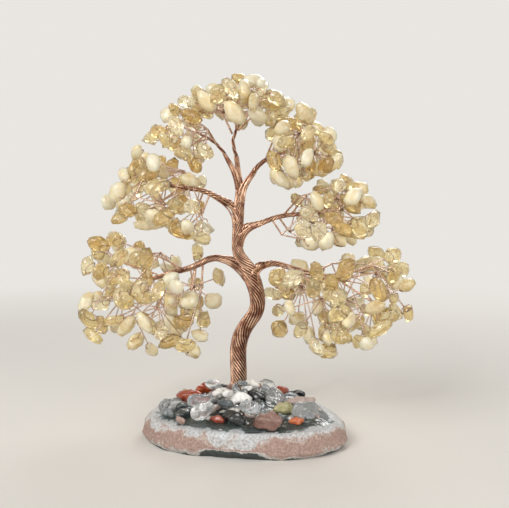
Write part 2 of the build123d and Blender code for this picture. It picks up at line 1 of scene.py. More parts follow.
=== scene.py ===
import json
import logging
import math
import random
from collections.abc import Callable
from dataclasses import dataclass, field
from enum import Enum

import bmesh
import bpy
import numpy as np
from mathutils import Matrix, Vector, noise
from mathutils.geometry import interpolate_bezier


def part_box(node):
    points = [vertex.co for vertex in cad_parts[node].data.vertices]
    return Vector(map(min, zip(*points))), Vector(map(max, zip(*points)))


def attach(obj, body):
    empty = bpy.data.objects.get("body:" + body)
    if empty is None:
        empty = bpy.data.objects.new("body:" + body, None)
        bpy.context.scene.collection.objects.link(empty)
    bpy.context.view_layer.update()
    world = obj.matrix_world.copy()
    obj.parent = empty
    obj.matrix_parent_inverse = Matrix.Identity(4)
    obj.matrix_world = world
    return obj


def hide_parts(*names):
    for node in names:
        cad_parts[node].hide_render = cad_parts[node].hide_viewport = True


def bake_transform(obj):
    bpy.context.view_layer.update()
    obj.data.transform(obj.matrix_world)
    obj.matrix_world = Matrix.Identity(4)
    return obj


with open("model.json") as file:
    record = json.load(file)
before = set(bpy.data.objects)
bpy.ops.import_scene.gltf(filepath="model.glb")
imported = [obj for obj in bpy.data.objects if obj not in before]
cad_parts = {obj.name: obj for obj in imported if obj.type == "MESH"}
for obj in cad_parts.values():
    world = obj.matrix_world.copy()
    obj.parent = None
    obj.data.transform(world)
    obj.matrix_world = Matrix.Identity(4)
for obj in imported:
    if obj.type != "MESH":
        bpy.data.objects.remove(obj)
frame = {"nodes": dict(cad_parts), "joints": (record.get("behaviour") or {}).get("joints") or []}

# The looks of a gemstone tree: a rope of copper wires with seven limbs, twigs that each hold one tumbled
# citrine chip, and a foot of agate, clear resin and mixed gravel. Lengths are in metres, apart from the
# sizes of the marks in a finish, which are in millimetres.

LOG = logging.getLogger("gemstone_tree")
MM = 0.001
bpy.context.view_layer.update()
ROOT_BODY = "base_and_trunk"
WELD = 1e-7
FLAT_ANGLE = math.radians(0.5)
SAME_LEVEL = 1e-5
NOISE_SPAN = 99.0
DENT_SCALE = 1.3
THINNEST = 0.05 * MM
SEED = 7

Tree = bpy.types.NodeTree
Socket = bpy.types.NodeSocket
Span = tuple[float, float]
Stops = tuple[tuple[float, str], ...]

FULL_TURN = 2 * math.pi
UP = Vector((0.0, 0.0, 1.0))
ORIGIN = Vector((0.0, 0.0, 0.0))
WHITE = "FFFFFF"

# A diagonal wave node repeats at this sum of its coordinates. A twisted pair shows two wires in each turn.
WAVE_PERIOD = FULL_TURN / 10
PAIR = 2

# Places of the mix node's sockets, because its kinds share their names.
MIX_SHARE = 0
FIRST_VALUE = 2
SECOND_VALUE = 3
FIRST_COLOUR = 6
SECOND_COLOUR = 7
MIXED_VALUE = 0
MIXED_COLOUR = 2


def linear(colour: str) -> tuple[float, ...]:
    """Turn an sRGB hex colour into linear light.

    Args:
        colour: Six hex digits, red first.

    Returns:
        Red, green, blue and full alpha.
    """
    parts = [int(colour[i:i + 2], 16) / 255 for i in (0, 2, 4)]
    light = [p / 12.92 if p <= 0.04045 else ((p + 0.055) / 1.055) ** 2.4 for p in parts]
    return (*light, 1.0)


def per_mm(size: float) -> float:
    """Give the texture scale at which one feature is this many millimetres wide."""
    return 1.0 / (size * MM)


def add(tree: Tree, kind: str, links: dict | None = None, stops: Stops = (),
        **settings: object) -> bpy.types.Node:
    """Add one node with its settings and links.

    Args:
        tree: The node tree.
        kind: The node's type.
        links: For each input's name or number, a value or the output socket to link.
        stops: Places and hex colours of a colour ramp.
        settings: The node's own properties.

    Returns:
        The new node.
    """
    node = tree.nodes.new(kind)
    for name, value in settings.items():
        setattr(node, name, value)
    for number, (place, colour) in enumerate(stops):
        elements = node.color_ramp.elements
        stop = elements[number] if number < 2 else elements.new(place)
        stop.position = place
        stop.color = linear(colour)
    for name, value in (links or {}).items():
        if isinstance(value, Socket):
            tree.links.new(value, node.inputs[name])
        else:
            node.inputs[name].default_value = value
    return node


def blank(name: str) -> bpy.types.Material:
    """Make an empty node material.

    Args:
        name: Its name.

    Returns:
        The material.
    """
    made = bpy.data.materials.new(name)
    made.use_nodes = True
    made.node_tree.nodes.clear()
    return made


@dataclass(frozen=True)
class CopperFinish:
    """Soft annealed copper wire, lacquered and twisted by hand: rose-brown, with pale lines of light."""

    name: str = "annealed_copper_wire"
    bright: str = "DAB498"
    dull: str = "8C5C46"
    stain: float = 4.0
    stain_detail: float = 3.0
    stain_span: Span = (0.38, 0.60)
    gloss_span: Span = (0.35, 0.65)
    roughness: Span = (0.30, 0.18)
    lacquer: float = 0.6
    lacquer_roughness: float = 0.16
    # Colour ramp over each point's depth in a rope that darkens the hollows between its wires: painted
    # shade.
    painted_groove_shade: Stops = ()
    twist: float = 0.0
    twist_depth: float = 0.16 * MM
    # Darker lines where the two wires of a twisted pair meet: painted shade, on top of the bump.
    painted_twist_shade: Stops = ((0.05, "B99A8A"), (0.55, WHITE))

    def material(self) -> bpy.types.Material:
        """Build the finish, with painted shade in the hollows between a rope's wires, or painted shade and a
        bump along the crossings of a twisted pair, of which twist is the spacing.

        Returns:
            The material.
        """
        made = blank(self.name)
        tree = made.node_tree
        place = add(tree, "ShaderNodeTexCoord")
        stain = add(tree, "ShaderNodeTexNoise", {
            "Vector": place.outputs["Object"], "Scale": per_mm(self.stain), "Detail": self.stain_detail})
        rough = add(tree, "ShaderNodeMapRange", {
            "Value": stain.outputs["Fac"], "From Min": self.gloss_span[0], "From Max": self.gloss_span[1],
            "To Min": self.roughness[0], "To Max": self.roughness[1]})
        colour = add(tree, "ShaderNodeValToRGB", {"Fac": stain.outputs["Fac"]},
                     stops=tuple(zip(self.stain_span, (self.dull, self.bright)))).outputs["Color"]
        links = {"Metallic": 1.0, "Roughness": rough.outputs["Result"],
                 "Coat Weight": self.lacquer, "Coat Roughness": self.lacquer_roughness}
        painted_shades = []
        # Painted shade in the hollows between a rope's wires, darker the deeper a point lies.
        if self.painted_groove_shade:
            groove = add(tree, "ShaderNodeAttribute", attribute_name="groove").outputs["Fac"]
            painted_shades.append(add(tree, "ShaderNodeValToRGB", {"Fac": groove}, stops=self.painted_groove_shade))
        # Painted shade along the crossing lines of a twisted pair, with a bump along the same wave.
        if self.twist:
            pair = PAIR * WAVE_PERIOD
            crossing = add(tree, "ShaderNodeMapping", {
                "Vector": place.outputs["UV"], "Scale": (pair, pair * per_mm(self.twist), 0.0)})
            wave = add(tree, "ShaderNodeTexWave", {"Vector": crossing.outputs["Vector"], "Scale": 1.0},
                       wave_type="BANDS", bands_direction="DIAGONAL", wave_profile="SIN").outputs["Fac"]
            painted_shades.append(add(tree, "ShaderNodeValToRGB", {"Fac": wave}, stops=self.painted_twist_shade))
            bump = add(tree, "ShaderNodeBump", {
                "Height": wave, "Strength": 1.0, "Distance": self.twist_depth})
            links["Normal"] = bump.outputs["Normal"]
        # Each painted shade darkens the copper by multiplying it.
        for shade in painted_shades:
            colour = add(tree, "ShaderNodeMix", {
                MIX_SHARE: 1.0, FIRST_COLOUR: colour, SECOND_COLOUR: shade.outputs["Color"]},
                data_type="RGBA", blend_type="MULTIPLY").outputs[MIXED_COLOUR]
        shader = add(tree, "ShaderNodeBsdfPrincipled", {"Base Color": colour, **links})
        add(tree, "ShaderNodeOutputMaterial", {"Surface": shader.outputs["BSDF"]})
        return made


@dataclass(frozen=True)
class CitrineFinish:
    """Tumbled citrine, polished in a drum: glossy, see-through to milky, with pale veils inside."""

    name: str
    tones: Stops
    veil: str
    veil_share: Span
    veil_size: float
    veil_clarity: float
    transmission: Span
    roughness: Span
    subsurface: float
    depth: float = 1.6 * MM
    veil_detail: float = 5.0
    veil_roughness: float = 0.62
    veil_swirl: float = 1.4
    gloss_span: Span = (0.35, 0.70)
    clarity_span: Span = (0.50, 0.70)
    dent_size: float = 1.8
    dent_detail: float = 2.0
    dent_strength: float = 0.22
    dent_depth: float = 0.5 * MM
    scatter: tuple[float, float, float] = (1.0, 0.85, 0.6)
    ior: float = 1.544

    def material(self) -> bpy.types.Material:
        """Build the finish from each chip's own tone and the veils that run through it.

        Returns:
            The material.
        """
        made = blank(self.name)
        tree = made.node_tree
        place = add(tree, "ShaderNodeTexCoord").outputs["Object"]
        tone = add(tree, "ShaderNodeAttribute", attribute_name="tone").outputs["Fac"]
        body = add(tree, "ShaderNodeValToRGB", {"Fac": tone}, stops=self.tones)
        cloud = add(tree, "ShaderNodeTexNoise", {
            "Vector": place, "Scale": per_mm(self.veil_size), "Detail": self.veil_detail,
            "Roughness": self.veil_roughness, "Distortion": self.veil_swirl}).outputs["Fac"]
        veil = add(tree, "ShaderNodeMapRange", {
            "Value": cloud, "From Min": self.veil_share[0],
            "From Max": self.veil_share[1]}).outputs["Result"]
        colour = add(tree, "ShaderNodeMix", {
            MIX_SHARE: veil, FIRST_COLOUR: body.outputs["Color"], SECOND_COLOUR: linear(self.veil)},
            data_type="RGBA")
        rough = add(tree, "ShaderNodeMapRange", {
            "Value": cloud, "From Min": self.gloss_span[0], "From Max": self.gloss_span[1],
            "To Min": self.roughness[0], "To Max": self.roughness[1]})
        clarity = add(tree, "ShaderNodeMapRange", {
            "Value": tone, "From Min": self.clarity_span[0], "From Max": self.clarity_span[1],
            "To Min": self.transmission[0], "To Max": self.transmission[1]})
        clouded = add(tree, "ShaderNodeMix", {
            MIX_SHARE: veil, FIRST_VALUE: clarity.outputs["Result"], SECOND_VALUE: self.veil_clarity})
        dents = add(tree, "ShaderNodeTexNoise", {
            "Vector": place, "Scale": per_mm(self.dent_size), "Detail": self.dent_detail})
        bump = add(tree, "ShaderNodeBump", {
            "Height": dents.outputs["Fac"], "Strength": self.dent_strength, "Distance": self.dent_depth})
        shader = add(tree, "ShaderNodeBsdfPrincipled", {
            "Base Color": colour.outputs[MIXED_COLOUR], "Roughness": rough.outputs["Result"],
            "IOR": self.ior, "Transmission Weight": clouded.outputs[MIXED_VALUE],
            "Subsurface Weight": self.subsurface, "Subsurface Radius": self.scatter,
            "Subsurface Scale": self.depth, "Normal": bump.outputs["Normal"]})
        add(tree, "ShaderNodeOutputMaterial", {"Surface": shader.outputs["BSDF"]})
        return made


class Figure(Enum):
    """How a gravel stone is marked."""

    CLOUDED = "clouded"
    VEINED = "veined"
    SPECKLED = "speckled"


@dataclass(frozen=True)
class GravelFinish:
    """A drum-polished stone of one kind: waxy to glassy, with the marks of its mineral."""

    name: str
    colours: Stops
    figure: Figure
    mark: float
    roughness: float = 0.16
    transmission: float = 0.0
    ior: float = 1.54
    mark_detail: float = 5.0
    mark_roughness: float = 0.6
    swirl: float = 0.5
    vein_swirl: float = 2.2
    speckle_share: float = 0.55
    dent_strength: float = 0.25
    dent_depth: float = 0.4 * MM
    polish: float = 0.4
    polish_roughness: float = 0.05

    def material(self) -> bpy.types.Material:
        """Build the finish.

        Returns:
            The material.
        """
        made = blank(self.name)
        tree = made.node_tree
        place = add(tree, "ShaderNodeTexCoord").outputs["Object"]
        cloud = add(tree, "ShaderNodeTexNoise", {
            "Vector": place, "Scale": per_mm(self.mark), "Detail": self.mark_detail,
            "Roughness": self.mark_roughness,
            "Distortion": self.vein_swirl if self.figure is Figure.VEINED else self.swirl}).outputs["Fac"]
        factor = cloud
        if self.figure is Figure.SPECKLED:
            cells = add(tree, "ShaderNodeTexVoronoi", {"Vector": place, "Scale": per_mm(self.mark)})
            factor = add(tree, "ShaderNodeMix", {
                MIX_SHARE: self.speckle_share, FIRST_VALUE: cloud,
                SECOND_VALUE: cells.outputs["Distance"]}).outputs[MIXED_VALUE]
        tone = add(tree, "ShaderNodeAttribute", attribute_name="tone")
        shifted = add(tree, "ShaderNodeMath", {0: factor, 1: tone.outputs["Fac"]}, operation="ADD")
        colour = add(tree, "ShaderNodeValToRGB", {"Fac": shifted.outputs["Value"]}, stops=self.colours)
        bump = add(tree, "ShaderNodeBump", {
            "Height": cloud, "Strength": self.dent_strength, "Distance": self.dent_depth})
        shader = add(tree, "ShaderNodeBsdfPrincipled", {
            "Base Color": colour.outputs["Color"], "Roughness": self.roughness, "IOR": self.ior,
            "Transmission Weight": self.transmission, "Coat Weight": self.polish,
            "Coat Roughness": self.polish_roughness, "Normal": bump.outputs["Normal"]})
        add(tree, "ShaderNodeOutputMaterial", {"Surface": shader.outputs["BSDF"]})
        return made


@dataclass(frozen=True)
class AgateFinish:
    """A sawn and polished agate slice with its rough rind: slate heart, white band, tan druzy sides."""

    name: str = "banded_agate_slice"
    zones: Stops = (
        (0.18, "454D4B"), (0.30, "525A58"), (0.32, "9BA1A3"), (0.34, "E4E7EA"), (0.49, "EEEFF0"),
        (0.54, "D8C0B5"), (0.60, "C6A699"), (0.80, "CDB0A4"), (0.84, "EAE7E4"), (0.91, "E2E1DF"),
        (0.94, "4F5855"))
    sparkle: Stops = ((0.30, "B5B0AC"), (0.50, "E2E0DE"), (0.64, WHITE))
    wander: float = 5.5
    wander_detail: float = 5.0
    wander_roughness: float = 0.66
    wave: float = 0.62
    grit: float = 0.8
    grit_detail: float = 4.0
    grit_roughness: float = 0.7
    grit_strength: float = 0.7
    grit_depth: float = 0.9 * MM
    rough_span: Span = (0.33, 0.40)
    roughness: Span = (0.10, 0.62)
    ior: float = 1.54

    def material(self) -> bpy.types.Material:
        """Build the finish from the share of the way from the heart to the lower edge.

        Returns:
            The material.
        """
        made = blank(self.name)
        tree = made.node_tree
        place = add(tree, "ShaderNodeTexCoord").outputs["Object"]
        rind = add(tree, "ShaderNodeAttribute", attribute_name="rind")
        drift = add(tree, "ShaderNodeTexNoise", {
            "Vector": place, "Scale": per_mm(self.wander), "Detail": self.wander_detail,
            "Roughness": self.wander_roughness})
        pushed = add(tree, "ShaderNodeMath", {
            0: drift.outputs["Fac"], 1: self.wave, 2: rind.outputs["Fac"]}, operation="MULTIPLY_ADD")
        share = add(tree, "ShaderNodeMath", {0: pushed.outputs["Value"], 1: self.wave / 2},
                    operation="SUBTRACT").outputs["Value"]
        zone = add(tree, "ShaderNodeValToRGB", {"Fac": share}, stops=self.zones)
        rough_side = add(tree, "ShaderNodeMapRange", {
            "Value": share, "From Min": self.rough_span[0],
            "From Max": self.rough_span[1]}).outputs["Result"]
        grit = add(tree, "ShaderNodeTexNoise", {
            "Vector": place, "Scale": per_mm(self.grit), "Detail": self.grit_detail,
            "Roughness": self.grit_roughness}).outputs["Fac"]
        sparkle = add(tree, "ShaderNodeValToRGB", {"Fac": grit}, stops=self.sparkle)
        grain = add(tree, "ShaderNodeMix", {
            MIX_SHARE: rough_side, FIRST_COLOUR: linear(WHITE), SECOND_COLOUR: sparkle.outputs["Color"]},
            data_type="RGBA")
        colour = add(tree, "ShaderNodeMix", {
            MIX_SHARE: 1.0, FIRST_COLOUR: zone.outputs["Color"], SECOND_COLOUR: grain.outputs[MIXED_COLOUR]},
            data_type="RGBA", blend_type="MULTIPLY")
        rough = add(tree, "ShaderNodeMapRange", {
            "Value": rough_side, "To Min": self.roughness[0], "To Max": self.roughness[1]})
        crystals = add(tree, "ShaderNodeMath", {0: grit, 1: rough_side}, operation="MULTIPLY")
        bump = add(tree, "ShaderNodeBump", {
            "Height": crystals.outputs["Value"], "Strength": self.grit_strength,
            "Distance": self.grit_depth})
        shader = add(tree, "ShaderNodeBsdfPrincipled", {
            "Base Color": colour.outputs[MIXED_COLOUR], "Roughness": rough.outputs["Result"],
            "IOR": self.ior, "Normal": bump.outputs["Normal"]})
        add(tree, "ShaderNodeOutputMaterial", {"Surface": shader.outputs["BSDF"]})
        return made


@dataclass(frozen=True)
class ResinFinish:
    """Poured clear epoxy: water-clear and glossy, with the faint ripples of its setting."""

    name: str = "poured_clear_resin"
    tint: str = "F3F6F4"
    ripple: float = 6.0
    ripple_detail: float = 2.0
    ripple_strength: float = 0.5
    ripple_depth: float = 1.2 * MM
    roughness: float = 0.03
    ior: float = 1.5

    def material(self) -> bpy.types.Material:
        """Build the finish.

        Returns:
            The material.
        """
        made = blank(self.name)
        tree = made.node_tree
        place = add(tree, "ShaderNodeTexCoord")
        ripple = add(tree, "ShaderNodeTexNoise", {
            "Vector": place.outputs["Object"], "Scale": per_mm(self.ripple), "Detail": self.ripple_detail})
        bump = add(tree, "ShaderNodeBump", {
            "Height": ripple.outputs["Fac"], "Strength": self.ripple_strength,
            "Distance": self.ripple_depth})
        shader = add(tree, "ShaderNodeBsdfPrincipled", {
            "Base Color": linear(self.tint), "Roughness": self.roughness, "IOR": self.ior,
            "Transmission Weight": 1.0, "Normal": bump.outputs["Normal"]})
        add(tree, "ShaderNodeOutputMaterial", {"Surface": shader.outputs["BSDF"]})
        return made


@dataclass
class Shell:
    """One solid of a CAD node: its corners, and its faces as planes seen from its centre."""

    corners: np.ndarray
    normals: np.ndarray
    offsets: np.ndarray

    @property
    def centre(self) -> np.ndarray:
        """The mean of the corners."""
        return self.corners.mean(axis=0)

    def ends(self) -> tuple[Vector, Vector]:
        """Find the middles of the two ends of a straight rod.

        Returns:
            The two end points of its axis.
        """
        middle = self.centre
        axis = np.linalg.svd(self.corners - middle)[2][0]
        along = (self.corners - middle) @ axis
        low = self.corners[along < 0].mean(axis=0)
        high = self.corners[along >= 0].mean(axis=0)
        return Vector(low), Vector(high)

    def reach(self, ways: np.ndarray, roundness: float) -> np.ndarray:
        """Measure how far the solid reaches from its centre, with its corners worn round.

        Args:
            ways: Unit directions, one a row.
            roundness: The power that joins the faces: a low one gives a rounder stone.

        Returns:
            One length for each direction.
        """
        facing = np.clip(ways @ self.normals.T, 0.0, None) / self.offsets
        return (facing ** roundness).sum(axis=1) ** (-1.0 / roundness)

    def moved(self, place: Vector, turn: Matrix, scale: float) -> "Shell":
        """Copy the solid to another place, turned and at another size.

        Args:
            place: The copy's centre.
            turn: Its turn.
            scale: Its size as a share of this one's.

        Returns:
            The copy.
        """
        spun = np.array(turn).T
        corners = (self.corners - self.centre) @ spun * scale + np.array(place)
        return Shell(corners, self.normals @ spun, self.offsets * scale)

    def gap(self, other: "Shell", roundness: float) -> float:
        """Measure the gap to another solid, along the line between the two centres.

        Args:
            other: The other solid.
            roundness: See reach.

        Returns:
            The gap, below zero where they overlap.
        """
        apart = other.centre - self.centre
        far = float(np.linalg.norm(apart))
        way = (apart / far)[None]
        return far - self.reach(way, roundness)[0] - other.reach(-way, roundness)[0]


def shells(node: str) -> list[Shell]:
    """Read a CAD node's solids.

    Args:
        node: The node's name.

    Returns:
        One shell for each solid.
    """
    mesh = welded(node)
    found = []
    seen: set[bmesh.types.BMVert] = set()
    for first in mesh.verts:
        if first in seen:
            continue
        seen.add(first)
        island = [first]
        for vert in island:
            fresh = {edge.other_vert(vert) for edge in vert.link_edges} - seen
            seen |= fresh
            island.extend(sorted(fresh, key=lambda v: v.index))
        corners = np.array([vert.co for vert in island])
        faces = sorted({face for vert in island for face in vert.link_faces}, key=lambda f: f.index)
        normals = np.array([face.normal for face in faces])
        points = np.array([face.verts[0].co for face in faces])
        offsets = ((points - corners.mean(axis=0)) * normals).sum(axis=1)
        found.append(Shell(corners, normals, np.clip(offsets, THINNEST, None)))
    mesh.free()
    return found


def welded(node: str, plain: bool = True) -> bmesh.types.BMesh:
    """Copy a CAD node's mesh with its loose triangles joined.

    Args:
        node: The node's name.
        plain: Whether the triangles of a flat face become one face.

    Returns:
        The mesh.
    """
    mesh = bmesh.new()
    mesh.from_mesh(frame["nodes"][node].data)
    bmesh.ops.remove_doubles(mesh, verts=mesh.verts[:], dist=WELD)
    mesh.verts.index_update()
    mesh.faces.index_update()
    mesh.normal_update()
    if plain:
        bmesh.ops.dissolve_limit(mesh, angle_limit=FLAT_ANGLE, verts=mesh.verts[:], edges=mesh.edges[:])
    return mesh


class Route:
    """A smooth line with a radius along it, on which ropes and wires are laid."""

    FINE = 8
    STEEP = 0.8
    STRIDE = 0.5 * MM
    NARROWEST = 0.2

    def __init__(self, centres: list[Vector], radii: list[float]) -> None:
        """Draw a smooth line through the points.

        Args:
            centres: Points of the line.
            radii: The radius at each point.
        """
        points = np.array(centres)
        first = 2 * points[0] - points[1]
        last = 2 * points[-1] - points[-2]
        padded = np.vstack([first, points, last])
        share = np.arange(self.FINE)[:, None] / self.FINE
        runs = []
        for a, b, c, d in zip(padded, padded[1:], padded[2:], padded[3:]):
            runs.append(0.5 * (2 * b + (c - a) * share + (2 * a - 5 * b + 4 * c - d) * share ** 2
                               + (3 * b - a - 3 * c + d) * share ** 3))
        self.points = np.vstack([*runs, points[-1:]])
        steps = np.linalg.norm(np.diff(self.points, axis=0), axis=1)
        self.stations = np.concatenate([[0.0], np.cumsum(steps)])
        coarse = np.arange(len(self.points)) / self.FINE
        self.radii = np.interp(coarse, np.arange(len(radii)), radii)
        self.across, self.beyond = self.axes()

    @property
    def length(self) -> float:
        """The line's length."""
        return float(self.stations[-1])

    def axes(self) -> tuple[np.ndarray, np.ndarray]:
        """Carry two crossing axes along the line without a twist.

        Returns:
            The two axes at each fine point.
        """
        along = np.gradient(self.points, axis=0)
        along /= np.linalg.norm(along, axis=1)[:, None]
        start = np.array((1.0, 0.0, 0.0) if abs(along[0][0]) < self.STEEP else (0.0, 0.0, 1.0))
        across = []
        for way in along:
            start = start - way * (start @ way)
            start = start / np.linalg.norm(start)
            across.append(start)
        across = np.array(across)
        return across, np.cross(along, across)

    def read(self, table: np.ndarray, stations: np.ndarray) -> np.ndarray:
        """Read a table of the fine points at any stations along the line.

        Args:
            table: One row for each fine point.
            stations: The stations.

        Returns:
            One row for each station.
        """
        if table.ndim == 1:
            return np.interp(stations, self.stations, table)
        return np.stack([np.interp(stations, self.stations, column) for column in table.T], axis=1)

    def at(self, station: float) -> tuple[Vector, float]:
        """Give the point and the radius at one station."""
        where = np.array([station])
        return Vector(self.read(self.points, where)[0]), float(self.read(self.radii, where)[0])

    def along(self, station: float) -> Vector:
        """Give the line's direction at one station."""
        return (self.at(station + self.STRIDE)[0] - self.at(station - self.STRIDE)[0]).normalized()

    def station_at_height(self, height: float) -> float:
        """Give the station at which an upright line reaches a height."""
        return float(np.interp(height, self.points[:, 2], self.stations))

    def lay(self, mesh: bmesh.types.BMesh, radius: float,
            twist: Callable[[np.ndarray], np.ndarray] | None = None) -> None:
        """Bend a straight rope, built up +Z from the origin, on to the line.

        Args:
            mesh: The rope.
            radius: The radius it was built with.
            twist: The angle that it gains, from the stations along the line.
        """
        flat = np.array([vert.co for vert in mesh.verts])
        stations = flat[:, 2]
        wide = np.hypot(flat[:, 0], flat[:, 1])
        angle = np.arctan2(flat[:, 1], flat[:, 0])
        if twist:
            angle = angle + twist(stations)
        wide = np.maximum(wide + self.read(self.radii, stations) - radius, self.NARROWEST * wide)
        across = self.read(self.across, stations) * (wide * np.cos(angle))[:, None]
        beyond = self.read(self.beyond, stations) * (wide * np.sin(angle))[:, None]
        places = self.read(self.points, stations) + across + beyond
        for vert, place in zip(mesh.verts, places):
            vert.co = place


def rope_rings(node: str, near: Vector) -> tuple[list[Vector], list[float]]:
    """Find the middle line of a rope of the frame, from its rings.

    Args:
        node: The CAD node.
        near: A point close to the end at which the line starts.

    Returns:
        The rings' centres and radii.
    """
    mesh = welded(node)
    caps = sorted(mesh.faces, key=lambda f: -len(f.verts))[:2]
    cap = min(caps, key=lambda f: (f.calc_center_median() - near).length)
    ring = set(cap.verts)
    seen = set(ring)
    centres = []
    radii = []
    while ring:
        centre = sum((vert.co for vert in ring), Vector()) / len(ring)
        centres.append(centre)
        radii.append(max((vert.co - centre).length for vert in ring))
        ring = {edge.other_vert(vert) for vert in ring for edge in vert.link_edges} - seen
        seen |= ring
    mesh.free()
    return centres, radii


def swept(mesh: bmesh.types.BMesh, length: float, steps: int, angle: float = 0.0) -> None:
    """Sweep all that a mesh holds up +Z.

    Args:
        mesh: The mesh.
        length: How far.
        steps: In how many steps.
        angle: The turn that it makes.
    """
    bmesh.ops.spin(mesh, geom=mesh.verts[:] + mesh.edges[:] + mesh.faces[:], cent=ORIGIN, axis=UP,
                   dvec=(0.0, 0.0, length / steps), steps=steps, angle=angle, use_merge=False)
    bmesh.ops.recalc_face_normals(mesh, faces=mesh.faces[:])


@dataclass(frozen=True)
class Lay:
    """How wires are laid into a left-handed rope."""

    wires: int
    gauge: float
    turn: float
    step: float
    sides: int = 6

    @property
    def ring(self) -> float:
        """Radius of the circle on which the wires' centres stand, side by side."""
        return self.gauge / 2 / math.sin(math.pi / self.wires)

    @property
    def radius(self) -> float:
        """Outer radius of the rope."""
        return self.ring + self.gauge / 2

    def rope(self, length: float, core: bool = False) -> bmesh.types.BMesh:
        """Build the rope straight up from the origin.

        Args:
            length: The rope's length.
            core: Whether a round core fills the space between the wires.

        Returns:
            The mesh.
        """
        mesh = bmesh.new()
        groove = mesh.verts.layers.float.new("groove")
        for number in range(self.wires):
            turn = Matrix.Rotation(FULL_TURN * number / self.wires, 4, "Z")
            bmesh.ops.create_circle(mesh, cap_ends=True, segments=self.sides, radius=self.gauge / 2,
                                    matrix=turn @ Matrix.Translation((self.ring, 0.0, 0.0)))
        if core:
            bmesh.ops.create_circle(mesh, cap_ends=True, segments=2 * self.sides, radius=self.ring)
        for vert in mesh.verts:
            # Depth of each point between the wires, which the rope finish turns into painted shade.
            vert[groove] = (vert.co.length - self.ring) / self.gauge + 0.5
        swept(mesh, length, max(2, round(length / self.step)), -FULL_TURN * length / self.turn)
        return mesh


def upright_to(start: Vector, end: Vector) -> Matrix:
    """Give the move that takes +Z at the origin to the line from start to end."""
    way = (end - start).normalized()
    return Matrix.Translation(start) @ way.to_track_quat("Z", "Y").to_matrix().to_4x4()


def join(whole: bmesh.types.BMesh, part: bmesh.types.BMesh) -> None:
    """Add one mesh to another.

    Args:
        whole: The mesh that grows.
        part: The mesh that is added and freed.
    """
    carrier = bpy.data.meshes.new("carrier")
    part.to_mesh(carrier)
    part.free()
    whole.from_mesh(carrier)
    bpy.data.meshes.remove(carrier)


def strands(node: str, lay: Lay) -> bmesh.types.BMesh:
    """Twist wires along each straight rod of a CAD node.

    Args:
        node: The node's name.
        lay: How the wires are laid.

    Returns:
        The mesh.
    """
    whole = bmesh.new()
    whole.verts.layers.float.new("groove")
    for shell in shells(node):
        start, end = shell.ends()
        strand = lay.rope((end - start).length)
        bmesh.ops.transform(strand, matrix=upright_to(start, end), verts=strand.verts[:])
        join(whole, strand)
    return whole


def raised(mesh: bmesh.types.BMesh, ring: list[bmesh.types.BMVert]) -> list[bmesh.types.BMVert]:
    """Extrude a ring.

    Args:
        mesh: The mesh.
        ring: The ring's vertices.

    Returns:
        The new ring's vertices, in the same place.
    """
    mesh.edges.index_update()
    members = set(ring)
    edges = {edge for vert in ring for edge in vert.link_edges if edge.other_vert(vert) in members}
    made = bmesh.ops.extrude_edge_only(mesh, edges=sorted(edges, key=lambda e: e.index))
    return [item for item in made["geom"] if isinstance(item, bmesh.types.BMVert)]


def capped(mesh: bmesh.types.BMesh, ring: list[bmesh.types.BMVert]) -> None:
    """Close a mesh over its last ring.

    Args:
        mesh: The mesh.
        ring: The ring's vertices.
    """
    mesh.edges.index_update()
    rim = {edge for vert in ring for edge in vert.link_edges if edge.is_boundary}
    bmesh.ops.contextual_create(mesh, geom=sorted(rim, key=lambda e: e.index))
    bmesh.ops.recalc_face_normals(mesh, faces=mesh.faces[:])


def tumbled(whole: bmesh.types.BMesh, shell: Shell, cuts: int, roundness: float, dent: float,
            draw: random.Random) -> None:
    """Add one drum-tumbled stone that fills a solid of the frame.

    Args:
        whole: The mesh that takes it, with a vertex layer named tone.
        shell: The solid.
        cuts: How finely each side of the starting cube is cut.
        roundness: See Shell.reach.
        dent: Depth of the dents, as a share of the stone's size.
        draw: The source of chance.
    """
    stone = bmesh.new()
    tone = stone.verts.layers.float.new("tone")
    bmesh.ops.create_cube(stone, size=2.0)
    bmesh.ops.subdivide_edges(stone, edges=stone.edges[:], cuts=cuts, use_grid_fill=True)
    ways = np.array([vert.co.normalized() for vert in stone.verts])
    offset = Vector([draw.uniform(0.0, NOISE_SPAN) for _ in range(3)])
    dents = np.array([noise.noise(DENT_SCALE * Vector(way) + offset) for way in ways])
    places = ways * (shell.reach(ways, roundness) * (1 + dent * dents))[:, None]
    wanted = np.ptp(shell.corners, axis=0)
    middle = (shell.corners.max(axis=0) + shell.corners.min(axis=0)) / 2
    places = (places - (places.max(axis=0) + places.min(axis=0)) / 2) * wanted / np.ptp(places, axis=0)
    share = draw.random()
    for vert, place in zip(stone.verts, places + middle):
        vert.co = place
        vert[tone] = share
    join(whole, stone)


def piece(name: str, mesh: bmesh.types.BMesh, finish: bpy.types.Material, slot: str,
          *nodes: str) -> bpy.types.Object:
    """Make a mesh an object with its finish.

    Args:
        name: The piece's name.
        mesh: Its mesh, which is freed.
        finish: Its material.
        slot: The record's material slot; not used.
        nodes: The CAD nodes that it stands for.

    Returns:
        The object, which rides on nothing yet.
    """
    data = bpy.data.meshes.new(name)
    for face in mesh.faces:
        face.smooth = True
    mesh.to_mesh(data)
    mesh.free()
    data.materials.append(finish)
    made = bpy.data.objects.new(name, data)
    bpy.context.scene.collection.objects.link(made)
    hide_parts(*nodes)
    LOG.info("%s: %d faces, stands for %s", name, len(data.polygons), ", ".join(nodes) or "no node")
    return made


